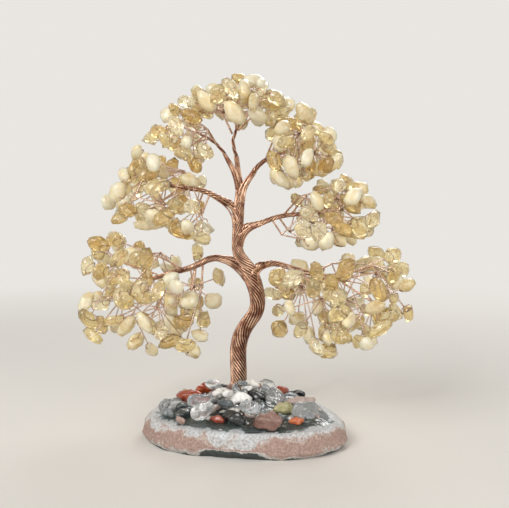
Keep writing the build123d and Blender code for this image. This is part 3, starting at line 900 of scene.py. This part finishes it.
@dataclass
class Finishes:
    """The materials of the whole tree, each built once."""

    copper: bpy.types.Material = field(default_factory=lambda: CopperFinish().material())
    # The rope's darkened hollows between its wires are painted shade.
    rope: bpy.types.Material = field(default_factory=lambda: CopperFinish(
        name="copper_wire_rope",
        painted_groove_shade=((0.52, "3A2016"), (0.70, "A67E6C"), (0.88, WHITE))).material())
    branch: bpy.types.Material = field(default_factory=lambda: CopperFinish(
        name="fine_copper_wire", bright="EBCFBA", dull="C8A189").material())
    # The twisted pair's darker crossing lines are painted shade.
    twisted: bpy.types.Material = field(default_factory=lambda: CopperFinish(
        name="twisted_copper_pair", twist=2.2, bright="F7E6D8", dull="E2C6B3").material())
    clear: bpy.types.Material = field(default_factory=lambda: CitrineFinish(
        name="clear_citrine", tones=((0.0, "F4EBCD"), (0.5, "E8D8A6"), (1.0, "D6B876")), veil="F6EDD2",
        veil_share=(0.54, 0.78), veil_size=3.2, veil_clarity=0.30, transmission=(0.80, 0.80),
        roughness=(0.03, 0.18), subsurface=0.0).material())
    milky: bpy.types.Material = field(default_factory=lambda: CitrineFinish(
        name="milky_citrine", tones=((0.0, "F8EBCC"), (0.5, "F3DFAE"), (1.0, "EED494")), veil="FCF6E4",
        veil_share=(0.36, 0.74), veil_size=5.0, veil_clarity=0.05, transmission=(0.15, 0.42),
        roughness=(0.05, 0.14), subsurface=0.55, depth=2.4 * MM).material())


@dataclass
class Trunk:
    """The rope of copper wires, its foot in the resin and its wire ends splayed there."""

    finishes: Finishes
    gauge: float = 0.92 * MM
    turn: float = 30.0 * MM
    step: float = 1.1 * MM
    relaxed_height: float = 47.0 * MM
    relaxed_run: float = 9.0 * MM
    relaxed_share: float = 0.75
    slack: float = 0.84
    root_lay: Lay = Lay(wires=3, gauge=0.5 * MM, turn=9.0 * MM, step=0.8 * MM)

    def __post_init__(self) -> None:
        """Read the trunk's line from the frame."""
        self.route = Route(*rope_rings("trunk_bundle", ORIGIN))

    def build(self) -> None:
        """Lay the trunk's wires and the roots."""
        widest = float(self.route.radii.max())
        wires = math.floor(FULL_TURN * (widest - self.gauge / 2) * self.slack / self.gauge)
        lay = Lay(wires=wires, gauge=self.gauge, turn=self.turn, step=self.step)
        rope = lay.rope(self.route.length, core=True)
        self.route.lay(rope, lay.radius, self.relaxed)
        self.dress("trunk_rope", rope, "trunk_bundle")
        self.dress("splayed_roots", strands("root_wires", self.root_lay), "root_wires")

    def relaxed(self, stations: np.ndarray) -> np.ndarray:
        """Open the rope's turn where the trunk bends, so that its wires run along it there.

        Args:
            stations: Stations along the trunk.

        Returns:
            The angle that the rope gains at each.
        """
        middle = self.route.station_at_height(self.relaxed_height)
        most = self.relaxed_share * FULL_TURN * self.relaxed_run / self.turn
        return most * np.tanh((stations - middle) / self.relaxed_run)

    def dress(self, name: str, mesh: bmesh.types.BMesh, node: str) -> None:
        """Give one rope its copper and set it on the root body."""
        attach(piece(name, mesh, self.finishes.rope, "copper_wire", node), ROOT_BODY)


@dataclass
class Limb:
    """One limb: its rope, side branches, twigs, the wires at its fork and its citrine chips."""

    name: str
    finishes: Finishes
    trunk: Trunk
    rope_gauge: float = 0.78 * MM
    rope_turn: float = 13.0 * MM
    branch_lay: Lay = Lay(wires=4, gauge=0.38 * MM, turn=6.0 * MM, step=0.7 * MM, sides=6)
    sunk: tuple[Span, ...] = ((5.0 * MM, 0.25), (2.0 * MM, 0.62))
    sunk_radii: Span = (0.8, 1.0)
    twig_radius: float = 0.30 * MM
    twig_taper: float = 0.9
    twig_sides: int = 6
    twig_cuts: int = 4
    twig_bow: float = 0.035
    twig_root: float = 0.9 * MM
    loop_gauge: float = 0.14
    loop_sides: int = 3
    loop_steps: int = 12
    loop_weld: float = 1e-4
    loop_place: float = 0.38
    loop_reach: float = 0.42
    loop_girth: float = 0.72
    loop_flat: float = 0.9 * MM
    fork_wires: int = 9
    fork_sides: int = 6
    fork_step: float = 0.7 * MM
    fork_points: int = 9
    fork_root: float = 6.0 * MM
    fork_reach: float = 13.0 * MM
    fork_reaches: Span = (0.75, 1.0)
    fork_drop: float = 7.0 * MM
    fork_drops: Span = (0.7, 1.4)
    fork_spread: float = math.radians(105)
    fork_wrap: float = 2.0
    fork_knee: float = 0.25
    fork_bulge: float = 0.25 * MM
    fork_hug: float = 0.15 * MM
    fork_foot_sink: float = 0.1 * MM
    fork_tip_sink: float = 0.25 * MM
    chip_cuts: int = 2
    chip_roundness: float = 3.6
    chip_dent: float = 0.16

    def __post_init__(self) -> None:
        """Read the limb's line and joint from the frame."""
        swing = [joint for joint in frame["joints"] if joint["child"] == self.name]
        self.body = self.name if swing else ROOT_BODY
        near = Vector(swing[0]["pos_m"]) if swing else self.trunk.route.at(self.trunk.route.length)[0]
        centres, radii = rope_rings(f"{self.name}_limb", near)
        if swing:
            centres = [*self.inside_trunk(centres[0]), *centres]
            radii = [*(share * radii[0] for share in self.sunk_radii), *radii]
        self.route = Route(centres, radii)
        self.draw = random.Random(f"{SEED} {self.name}")

    def inside_trunk(self, root: Vector) -> list[Vector]:
        """Lead the limb's rope back down into the trunk, from which its wires come.

        Args:
            root: The limb's first point.

        Returns:
            Points from deep in the trunk outwards.
        """
        trunk = self.trunk.route
        station = trunk.station_at_height(root.z)
        out = root - trunk.at(station)[0]
        return [trunk.at(station - drop)[0] + out * share for drop, share in self.sunk]

    def build(self) -> None:
        """Build and dress every piece of the limb."""
        self.dress("limb_rope", self.rope(), self.finishes.rope, "limb")
        branches = strands(f"{self.name}_side_branches", self.branch_lay)
        self.dress("branch_ropes", branches, self.finishes.branch, "side_branches")
        chips = [*shells(f"{self.name}_citrine_clear"), *shells(f"{self.name}_citrine_milky")]
        twigs, loops = self.twigs(chips)
        self.dress("twig_wires", twigs, self.finishes.twisted, "twigs")
        self.dress("chip_loops", loops, self.finishes.copper, None)
        self.dress("clear_chips", self.chips("citrine_clear"), self.finishes.clear, "citrine_clear")
        self.dress("milky_chips", self.chips("citrine_milky"), self.finishes.milky, "citrine_milky")
        if self.body != ROOT_BODY:
            self.fork()

    def dress(self, name: str, mesh: bmesh.types.BMesh, finish: bpy.types.Material,
              node: str | None) -> None:
        """Give one piece its finish and set it on the limb's body.

        Args:
            name: The piece's name within the limb.
            mesh: Its mesh.
            finish: Its material.
            node: The part of the limb that it stands for, if any.
        """
        slot = node if node in ("citrine_clear", "citrine_milky") else "copper_wire"
        nodes = [f"{self.name}_{node}"] if node else []
        made = piece(f"{self.name}_{name}", mesh, finish, slot, *nodes)
        made.visible_shadow = node != "citrine_clear"
        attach(made, self.body)

    def rope(self) -> bmesh.types.BMesh:
        """Lay the limb's own rope, with as many wires as its root has room for.

        Returns:
            The mesh.
        """
        widest = float(self.route.radii.max()) - self.rope_gauge / 2
        wires = math.floor(FULL_TURN * widest * self.trunk.slack / self.rope_gauge)
        lay = Lay(wires=wires, gauge=self.rope_gauge, turn=self.rope_turn, step=self.trunk.step)
        rope = lay.rope(self.route.length, core=True)
        self.route.lay(rope, lay.radius)
        return rope

    def twigs(self, chips: list[Shell]) -> tuple[bmesh.types.BMesh, bmesh.types.BMesh]:
        """Run a twisted pair to each chip and thread it through.

        Args:
            chips: The limb's chips.

        Returns:
            The twigs and the loops through the chips.
        """
        centres = np.array([chip.centre for chip in chips])
        twigs = bmesh.new()
        loops = bmesh.new()
        for shell in shells(f"{self.name}_twigs"):
            ends = shell.ends()
            gaps = [np.linalg.norm(centres - np.array(end), axis=1) for end in ends]
            tip = 0 if gaps[0].min() < gaps[1].min() else 1
            chip = chips[int(gaps[tip].argmin())]
            self.twig(twigs, ends[1 - tip], ends[tip])
            self.loop(loops, ends[tip], chip)
        return twigs, loops

    def twig(self, whole: bmesh.types.BMesh, root: Vector, tip: Vector) -> None:
        """Add one twig, slightly bowed, with its length and its turn in its UV map.

        Args:
            whole: The mesh that takes it.
            root: Where it leaves the side branch.
            tip: Where it meets its chip.
        """
        way = (tip - root).normalized()
        root = root - way * self.twig_root
        length = (tip - root).length
        rod = bmesh.new()
        bmesh.ops.create_cone(rod, cap_ends=True, segments=self.twig_sides, radius1=self.twig_radius,
                              radius2=self.twig_taper * self.twig_radius, depth=length,
                              matrix=Matrix.Translation((0.0, 0.0, length / 2)))
        sides = [edge for edge in rod.edges if abs(edge.verts[0].co.z - edge.verts[1].co.z) > length / 2]
        bmesh.ops.subdivide_edges(rod, edges=sides, cuts=self.twig_cuts)
        chart = rod.loops.layers.uv.new("UVMap")
        for face in rod.faces:
            turns = [math.atan2(loop.vert.co.y, loop.vert.co.x) / FULL_TURN for loop in face.loops]
            for loop, turn in zip(face.loops, turns):
                whole_turn = 1.0 if max(turns) - turn > 0.5 else 0.0
                loop[chart].uv = (turn + whole_turn, loop.vert.co.z)
        bow = self.draw.uniform(-self.twig_bow, self.twig_bow) * length
        for vert in rod.verts:
            vert.co.x += bow * math.sin(math.pi * vert.co.z / length)
        bmesh.ops.transform(rod, matrix=upright_to(root, tip), verts=rod.verts[:])
        join(whole, rod)

    def loop(self, whole: bmesh.types.BMesh, tip: Vector, chip: Shell) -> None:
        """Add the loop of wire that goes through one chip near its inner end.

        Args:
            whole: The mesh that takes it.
            tip: The tip of the chip's twig.
            chip: The chip.
        """
        inwards = Vector(chip.centre) - tip
        depth = inwards.length
        way = inwards.normalized()
        side = way.orthogonal().normalized()
        girth = float(np.abs((chip.corners - chip.centre) @ np.array(side)).max())
        ring = bmesh.new()
        upright = Matrix.Translation((1.0, 0.0, 0.0)) @ Matrix.Rotation(math.pi / 2, 4, "X")
        bmesh.ops.create_circle(ring, cap_ends=False, segments=self.loop_sides, radius=self.loop_gauge,
                                matrix=upright)
        bmesh.ops.spin(ring, geom=ring.verts[:] + ring.edges[:], cent=ORIGIN, axis=UP, angle=FULL_TURN,
                       steps=self.loop_steps, use_merge=True)
        bmesh.ops.remove_doubles(ring, verts=ring.verts[:], dist=self.loop_weld)
        bmesh.ops.recalc_face_normals(ring, faces=ring.faces[:])
        turn = Matrix((way, side, way.cross(side))).transposed().to_4x4()
        size = Matrix.Diagonal((self.loop_reach * depth, self.loop_girth * girth, self.loop_flat, 1.0))
        place = Matrix.Translation(tip + way * self.loop_place * depth) @ turn @ size
        bmesh.ops.transform(ring, matrix=place, verts=ring.verts[:])
        join(whole, ring)

    def chips(self, node: str) -> bmesh.types.BMesh:
        """Tumble the limb's chips of one kind.

        Args:
            node: The kind's part of the node's name.

        Returns:
            The mesh.
        """
        whole = bmesh.new()
        whole.verts.layers.float.new("tone")
        for shell in shells(f"{self.name}_{node}"):
            tumbled(whole, shell, self.chip_cuts, self.chip_roundness, self.chip_dent, self.draw)
        return whole

    def fork(self) -> None:
        """Bend wires out of the trunk into the limb, across the joint."""
        trunk = self.trunk.route
        root = self.route.at(self.fork_root)[0]
        station = trunk.station_at_height(root.z)
        middle, radius = trunk.at(station)
        out = root - middle
        out.z = 0.0
        out.normalize()
        whole = bmesh.new()
        for number in range(self.fork_wires):
            share = 2 * number / (self.fork_wires - 1) - 1
            drop = self.fork_drop * self.draw.uniform(*self.fork_drops)
            low, low_radius = trunk.at(station - drop)
            way = Matrix.Rotation(self.fork_spread * share, 3, "Z") @ out
            foot = low + way * (low_radius - self.fork_foot_sink)
            knee = middle + way * (radius + self.fork_bulge) - Vector((0.0, 0.0, self.fork_knee * drop))
            reach = self.fork_reach * self.draw.uniform(*self.fork_reaches)
            far, far_radius = self.route.at(reach)
            near, near_radius = self.route.at((self.fork_root + reach) / 2)
            side = self.route.along(reach).cross(UP).normalized()
            under = side.cross(self.route.along(reach))
            around = self.fork_wrap * share
            round_limb = side * math.sin(-around) + under * -math.cos(around)
            shoulder = near + round_limb * (near_radius + self.fork_hug)
            tip = far + round_limb * (far_radius - self.fork_tip_sink)
            points = interpolate_bezier(foot, knee, shoulder, tip, self.fork_points)
            join(whole, self.wire(Route(points, [self.rope_gauge / 2] * self.fork_points)))
        made = piece(f"{self.name}_fork_wires", whole, self.finishes.copper, "copper_wire")
        self.route.at(self.fork_reach)[0]
        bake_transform(made)

    def wire(self, line: Route) -> bmesh.types.BMesh:
        """Build one wire of the fork.

        Args:
            line: The line on which it lies.

        Returns:
            The mesh.
        """
        mesh = bmesh.new()
        bmesh.ops.create_circle(mesh, cap_ends=True, segments=self.fork_sides, radius=self.rope_gauge / 2)
        swept(mesh, line.length, max(3, round(line.length / self.fork_step)))
        line.lay(mesh, self.rope_gauge / 2)
        return mesh


class Outline:
    """The outline of a low oval solid of the frame, at each of its levels."""

    LEVEL_DIGITS = 6

    def __init__(self, node: str) -> None:
        """Read the rings of corners.

        Args:
            node: The CAD node.
        """
        mesh = welded(node, plain=False)
        hull = bmesh.ops.convex_hull(mesh, input=mesh.verts[:])
        inner = [item for item in hull["geom_interior"] if isinstance(item, bmesh.types.BMVert)]
        bmesh.ops.delete(mesh, geom=inner, context="VERTS")
        corners = np.array([vert.co for vert in mesh.verts])
        mesh.free()
        self.centre = (corners.max(axis=0) + corners.min(axis=0)) / 2
        self.heights = sorted({round(float(z), self.LEVEL_DIGITS) for z in corners[:, 2]})
        self.rings = []
        for height in self.heights:
            ring = corners[np.abs(corners[:, 2] - height) < SAME_LEVEL] - self.centre
            angles = np.arctan2(ring[:, 1], ring[:, 0])
            order = np.argsort(angles)
            self.rings.append((angles[order], np.hypot(ring[:, 0], ring[:, 1])[order]))

    def circle(self, mesh: bmesh.types.BMesh, segments: int) -> list[bmesh.types.BMVert]:
        """Start a mesh with a closed ring about the centre."""
        made = bmesh.ops.create_circle(mesh, cap_ends=True, segments=segments, radius=1.0,
                                       matrix=Matrix.Translation(Vector(self.centre)))
        return made["verts"]

    def angle(self, spot: Vector) -> float:
        """Give a point's direction from the centre."""
        return math.atan2(spot.y - self.centre[1], spot.x - self.centre[0])

    def reach(self, angle: np.ndarray, height: float) -> np.ndarray:
        """Give the distance from the centre to the side at these angles and this height."""
        levels = np.array([np.interp(angle, *ring, period=FULL_TURN) for ring in self.rings])
        return np.array([np.interp(height, self.heights, column) for column in levels.T])


@dataclass
class AgateSlice:
    """The sawn slice that the tree stands on."""

    finish: bpy.types.Material = field(default_factory=lambda: AgateFinish().material())
    segments: int = 180
    side_rings: int = 12
    top_shares: tuple[float, ...] = (0.985, 0.96, 0.93, 0.89, 0.84, 0.76, 0.6, 0.4, 0.2)
    lumps: float = 1.1 * MM
    lump_size: float = 9.0 * MM
    crust: float = 0.45 * MM
    crust_size: float = 2.2 * MM
    skin: float = 0.1 * MM
    bay_angle: float = math.radians(-97)
    bay_width: float = math.radians(20)
    bay_power: int = 4
    bay_depth: float = 1.2 * MM
    bay_zones: tuple[Span, ...] = ((0.0, 1.14), (0.28, 1.02), (0.34, 0.90), (0.40, 0.50), (1.0, 0.42))
    side_zones: tuple[Span, ...] = ((0.0, 0.98), (0.14, 0.86), (1.0, 0.44))
    band: float = 1.5

    def build(self) -> None:
        """Raise the sides ring by ring from the foot, then close the top inwards."""
        outline = Outline("agate_base")
        low, high = outline.heights[0], outline.heights[-1]
        levels = [(low + (high - low) * i / self.side_rings, 1.0) for i in range(self.side_rings + 1)]
        levels += [(high, share) for share in self.top_shares]
        mesh = bmesh.new()
        rind = mesh.verts.layers.float.new("rind")
        ring = outline.circle(mesh, self.segments)
        for number, (height, share) in enumerate(levels):
            ring = raised(mesh, ring) if number else ring
            self.place(ring, outline, height, share, (height - low) / (high - low), rind)
        capped(mesh, ring)
        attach(piece("agate_slice", mesh, self.finish, "banded_agate", "agate_base"), ROOT_BODY)

    def place(self, ring: list[bmesh.types.BMVert], outline: Outline, height: float, share: float,
              rise: float, rind: bmesh.types.BMLayerItem) -> None:
        """Set one ring on the outline, roughened on the sides, and note where on the rind it is.

        Args:
            ring: The ring's vertices.
            outline: The slice's outline.
            height: The ring's height.
            share: Its size as a share of the outline.
            rise: Its height as a share of the thickness.
            rind: The layer for the way from the heart to the lower edge.
        """
        angles = np.array([outline.angle(vert.co) for vert in ring])
        reaches = outline.reach(angles, height)
        for vert, angle, reach in zip(ring, angles, reaches):
            spot = Vector((math.cos(angle) * reach, math.sin(angle) * reach, height))
            lump = noise.noise(spot / self.lump_size) * self.lumps
            crust = noise.noise(spot / self.crust_size) * self.crust * (1.0 if share == 1.0 else 0.0)
            bay = math.exp(-((angle - self.bay_angle) / self.bay_width) ** self.bay_power)
            wide = (reach + self.skin + lump + crust - self.bay_depth * bay * (1 - rise)) * share
            vert.co = (outline.centre[0] + math.cos(angle) * wide,
                       outline.centre[1] + math.sin(angle) * wide, height)
            side = float(np.interp(rise, *zip(*self.side_zones)))
            front = float(np.interp(rise, *zip(*self.bay_zones)))
            vert[rind] = side + (front - side) * bay - self.band * (1.0 - share)


class Mound:
    """The smooth surface of the resin, which rises from its edge to its middle."""

    CROWN_SHARE = 0.86
    SLOPE = 1.7
    SHOULDER = 0.9

    def __init__(self) -> None:
        """Read the mound's outline and height from the frame."""
        self.outline = Outline("resin_bed")
        low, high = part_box("resin_bed")
        self.foot = low.z
        self.rise = (high.z - low.z) * self.CROWN_SHARE

    def spot(self, angle: float, share: float, swell: float = 1.0) -> Vector:
        """Give a point of the surface.

        Args:
            angle: The direction from the middle.
            share: The way from the middle to the edge.
            swell: How much wider the mound is there than its outline.

        Returns:
            The point.
        """
        reach = float(self.outline.reach(np.array([angle]), self.foot)[0]) * share * swell
        x, y = self.outline.centre[:2]
        height = self.rise * (1.0 - share ** self.SLOPE) ** self.SHOULDER
        return Vector((x + math.cos(angle) * reach, y + math.sin(angle) * reach, self.foot + height))


@dataclass
class ResinBed:
    """The clear resin that holds the gravel and the trunk's foot."""

    mound: Mound
    stones: list[Shell]
    finish: bpy.types.Material = field(default_factory=lambda: ResinFinish().material())
    segments: int = 120
    rings: int = 22
    inner_share: float = 0.97
    foot_sink: float = 0.03 * MM
    pool: float = 0.05
    pool_size: float = 14.0 * MM
    creep: float = 0.7 * MM
    creep_reach: float = 1.6 * MM

    def __post_init__(self) -> None:
        """Note the middle and the half size of each stone, seen from above."""
        self.centres = np.array([stone.centre[:2] for stone in self.stones])
        self.halves = np.array([np.ptp(stone.corners, axis=0)[:2] / 2 for stone in self.stones])

    def build(self) -> None:
        """Draw the mound ring by ring from its edge to its top, with a meniscus at each stone."""
        mesh = bmesh.new()
        ring = self.mound.outline.circle(mesh, self.segments)
        foot = mesh.edges[:]
        for number in range(self.rings + 1):
            ring = raised(mesh, ring) if number else ring
            self.place(ring, 1.0 - self.inner_share * number / self.rings)
        capped(mesh, ring)
        for edge in foot:
            edge.smooth = False
        made = piece("resin_pool", mesh, self.finish, "clear_resin", "resin_bed")
        made.visible_shadow = False
        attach(made, ROOT_BODY)

    def place(self, ring: list[bmesh.types.BMVert], share: float) -> None:
        """Set one ring of the mound.

        Args:
            ring: The ring's vertices.
            share: The ring's size as a share of the outline.
        """
        for vert in ring:
            angle = self.mound.outline.angle(vert.co)
            way = Vector((math.cos(angle), math.sin(angle), 0.0))
            edge = float(self.mound.outline.reach(np.array([angle]), self.mound.foot)[0])
            spot = self.mound.spot(angle, share, 1.0 + self.pool * noise.noise(way * edge / self.pool_size))
            lift = self.climb(spot) if share < 1.0 else -self.foot_sink
            vert.co = spot + Vector((0.0, 0.0, lift))

    def climb(self, spot: Vector) -> float:
        """Give how far the resin climbs the nearest stone's side.

        Args:
            spot: A point of the smooth surface.

        Returns:
            The climb there.
        """
        apart = (np.array(spot)[:2] - self.centres) / self.halves
        gaps = (np.hypot(*apart.T) - 1.0) * self.halves.mean(axis=1)
        nearest = max(0.0, float(gaps.min()))
        return self.creep * math.exp(-(nearest / self.creep_reach) ** 2)


@dataclass
class Gravel:
    """The mixed tumbled gravel in the resin, by kind of stone, with small stones between the large ones."""

    mound: Mound
    trunk: Route
    small_kinds: tuple[str, ...] = ("clear_quartz", "rose_quartz", "smoky_agate", "white_pebbles")
    small_tries: int = 260
    small_scale: Span = (0.42, 0.66)
    small_spread: float = 0.86
    small_crowding: float = 0.6
    small_gap: float = 0.1 * MM
    heap: float = 9.0 * MM
    heap_spread: float = 0.62
    heap_step: float = 0.4 * MM
    heap_near: float = 4.0
    cuts: int = 6
    roundness: float = 9.0
    dent: float = 0.34
    finishes: tuple[GravelFinish, ...] = (
        GravelFinish("black_obsidian", ((0.3, "0E0F10"), (0.8, "1D1F20"), (1.0, "2A2C2D")), Figure.CLOUDED,
                     3.0, roughness=0.10),
        GravelFinish("clear_quartz", ((0.35, "EEF2F4"), (0.7, "CBD3D8"), (1.0, "F8FAFA")), Figure.VEINED,
                     3.2, roughness=0.05, transmission=0.86),
        GravelFinish("green_prehnite", ((0.3, "8E8A4C"), (0.7, "A7A068"), (1.0, "C4BE8C")), Figure.SPECKLED,
                     2.0, roughness=0.18, transmission=0.2),
        GravelFinish("red_jasper", ((0.35, "96371B"), (0.6, "BE5426"), (0.9, "D67A3E"), (1.0, "9C4228")),
                     Figure.VEINED, 3.5, roughness=0.14),
        GravelFinish("rose_quartz", ((0.35, "A07568"), (0.75, "C29C8E"), (1.0, "E2CBC0")), Figure.VEINED,
                     3.4, roughness=0.06, transmission=0.42),
        GravelFinish("smoky_agate", ((0.35, "5D676A"), (0.65, "8A9598"), (0.95, "B6BEC0"), (1.0, "6D7779")),
                     Figure.VEINED, 3.8, roughness=0.06, transmission=0.62),
        GravelFinish("white_pebbles", ((0.35, "CFC8BE"), (0.7, "EDE9E2"), (1.0, "F6F4F0")), Figure.CLOUDED,
                     3.0, roughness=0.30),
    )

    def __post_init__(self) -> None:
        """Read the stones of the frame and strew small ones between them."""
        self.stones = {finish.name: shells(f"gravel_{finish.name}") for finish in self.finishes}
        self.strew()

    def every_stone(self) -> list[Shell]:
        """List the stones of all kinds."""
        return [stone for kind in self.stones.values() for stone in kind]

    def strew(self) -> None:
        """Heap small stones on the resin and on the large stones, highest near the trunk."""
        draw = random.Random(f"{SEED} small stones")
        models = {name: list(self.stones[name]) for name in self.small_kinds}
        names = [name for name, kind in models.items() for _ in kind]
        for _ in range(self.small_tries):
            name = draw.choice(names)
            share = self.small_spread * draw.random() ** self.small_crowding
            spot = self.mound.spot(draw.uniform(-math.pi, math.pi), share)
            turn = Matrix.Rotation(draw.uniform(0.0, FULL_TURN), 3, "Z")
            stone = draw.choice(models[name]).moved(spot, turn, draw.uniform(*self.small_scale))
            most = self.heap * max(0.0, 1.0 - share / self.heap_spread)
            if self.lift(stone, most):
                self.stones[name].append(stone)

    def lift(self, stone: Shell, most: float) -> bool:
        """Raise a stone until it stands clear of the trunk and of the other stones.

        Args:
            stone: The stone, which is moved.
            most: How far it may be raised.

        Returns:
            Whether it then stands clear.
        """
        half = float(np.ptp(stone.corners, axis=0).max()) / 2
        near = [other for other in self.every_stone()
                if np.hypot(*(other.centre - stone.centre)[:2]) < self.heap_near * half]
        for _ in range(1 + int(most / self.heap_step)):
            middle, radius = self.trunk.at(self.trunk.station_at_height(float(stone.centre[2])))
            if (Vector(stone.centre) - middle).length < radius + half:
                return False
            if all(stone.gap(other, self.roundness) > self.small_gap for other in near):
                return True
            stone.corners[:, 2] += self.heap_step
        return False

    def build(self) -> None:
        """Tumble the stones of each kind."""
        for finish in self.finishes:
            draw = random.Random(f"{SEED} {finish.name}")
            mesh = bmesh.new()
            mesh.verts.layers.float.new("tone")
            for shell in self.stones[finish.name]:
                tumbled(mesh, shell, self.cuts, self.roundness, self.dent, draw)
            made = piece(f"{finish.name}_stones", mesh, finish.material(), finish.name,
                         f"gravel_{finish.name}")
            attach(made, ROOT_BODY)


@dataclass(frozen=True)
class Lamp:
    """One square soft lamp."""

    name: str
    place: tuple[float, float, float]
    size: float
    power: float

    def hang(self, aim: Vector) -> None:
        """Hang the lamp so that it looks at a point.

        Args:
            aim: The point.
        """
        data = bpy.data.lights.new(self.name, "AREA")
        data.size = self.size
        data.energy = self.power
        made = bpy.data.objects.new(self.name, data)
        made.location = self.place
        made.rotation_euler = (aim - made.location).to_track_quat("-Z", "Y").to_euler()
        bpy.context.scene.collection.objects.link(made)


@dataclass
class Studio:
    """The pale floor, the soft lamps and the camera."""

    eye: tuple[float, float, float] = (6.36 * MM, -308.0 * MM, 95.0 * MM)
    pitch: float = math.radians(-4.1)
    lens: float = 53.05
    sensor: float = 36.0
    nearest: float = 0.01
    aim: tuple[float, float, float] = (0.0, 0.0, 0.07)
    floor_half: float = 4.0
    floor_colour: str = "E6E2DC"
    fade: Span = (0.18, 0.60)
    sky_colour: str = "E9E6E1"
    sky_light: float = 0.42
    lamps: tuple[Lamp, ...] = (
        Lamp("key", (-0.42, -0.48, 0.62), size=0.45, power=3.4),
        Lamp("fill", (0.40, -0.60, 0.20), size=0.50, power=1.9),
        Lamp("rim", (0.20, 0.55, 0.55), size=0.40, power=2.0),
        Lamp("glint", (-0.30, -0.60, 0.46), size=0.07, power=0.5),
    )

    def build(self) -> None:
        """Set up the floor, the world, the lamps and the camera."""
        self.floor()
        self.world()
        for lamp in self.lamps:
            lamp.hang(Vector(self.aim))
        self.camera()
        bpy.context.scene.view_settings.view_transform = "Standard"

    def camera(self) -> None:
        """Set the camera where the photo's was."""
        data = bpy.data.cameras.new("photo_camera")
        data.sensor_width = self.sensor
        data.lens = self.lens
        data.clip_start = self.nearest
        camera = bpy.data.objects.new("photo_camera", data)
        camera.location = self.eye
        camera.rotation_euler = (math.pi / 2 + self.pitch, 0.0, 0.0)
        bpy.context.scene.collection.objects.link(camera)
        bpy.context.scene.camera = camera

    def floor(self) -> None:
        """Lay the pale floor."""
        mesh = bmesh.new()
        bmesh.ops.create_grid(mesh, x_segments=1, y_segments=1, size=self.floor_half)
        data = bpy.data.meshes.new("floor")
        mesh.to_mesh(data)
        mesh.free()
        made = blank("pale_floor")
        tree = made.node_tree
        place = add(tree, "ShaderNodeTexCoord")
        far = add(tree, "ShaderNodeVectorMath", {0: place.outputs["Object"]}, operation="LENGTH")
        fade = add(tree, "ShaderNodeMapRange", {
            "Value": far.outputs["Value"], "From Min": self.fade[0], "From Max": self.fade[1]},
            interpolation_type="SMOOTHSTEP")
        near = add(tree, "ShaderNodeBsdfDiffuse", {"Color": linear(self.floor_colour)})
        beyond = add(tree, "ShaderNodeEmission", {
            "Color": linear(self.sky_colour), "Strength": self.seen(tree)})
        shader = add(tree, "ShaderNodeMixShader", {
            0: fade.outputs["Result"], 1: near.outputs["BSDF"], 2: beyond.outputs["Emission"]})
        add(tree, "ShaderNodeOutputMaterial", {"Surface": shader.outputs["Shader"]})
        data.materials.append(made)
        floor = bpy.data.objects.new("floor", data)
        bpy.context.scene.collection.objects.link(floor)

    def world(self) -> None:
        """Make the pale surroundings: bright to the eye and in reflections, gentler as light."""
        world = bpy.data.worlds.new("studio")
        world.use_nodes = True
        tree = world.node_tree
        tree.nodes.clear()
        sky = add(tree, "ShaderNodeBackground", {
            "Color": linear(self.sky_colour), "Strength": self.seen(tree)})
        add(tree, "ShaderNodeOutputWorld", {"Surface": sky.outputs[0]})
        bpy.context.scene.world = world

    def seen(self, tree: Tree) -> Socket:
        """Give a strength that is full to the eye, in gloss and through glass, and gentler as light.

        Args:
            tree: The node tree.

        Returns:
            The strength's socket.
        """
        path = add(tree, "ShaderNodeLightPath").outputs
        seen = add(tree, "ShaderNodeMath", {0: path["Is Camera Ray"], 1: path["Is Glossy Ray"]},
                   operation="MAXIMUM")
        through = add(tree, "ShaderNodeMath", {0: seen.outputs["Value"], 1: path["Is Transmission Ray"]},
                      operation="MAXIMUM")
        strength = add(tree, "ShaderNodeMapRange", {
            "Value": through.outputs["Value"], "To Min": self.sky_light, "To Max": 1.0})
        return strength.outputs["Result"]


def limb_names() -> list[str]:
    """Read the limbs' names from the frame's nodes."""
    return sorted(node.removesuffix("_limb") for node in frame["nodes"] if node.endswith("_limb"))


def main() -> None:
    """Build the tree from its foot to its crown, then the studio."""
    logging.basicConfig(level=logging.INFO, format="%(name)s: %(message)s")
    finishes = Finishes()
    AgateSlice().build()
    trunk = Trunk(finishes)
    trunk.build()
    mound = Mound()
    gravel = Gravel(mound, trunk.route)
    gravel.build()
    ResinBed(mound, gravel.every_stone()).build()
    for name in limb_names():
        Limb(name, finishes, trunk).build()
    Studio().build()


if __name__ == "__main__":
    main()
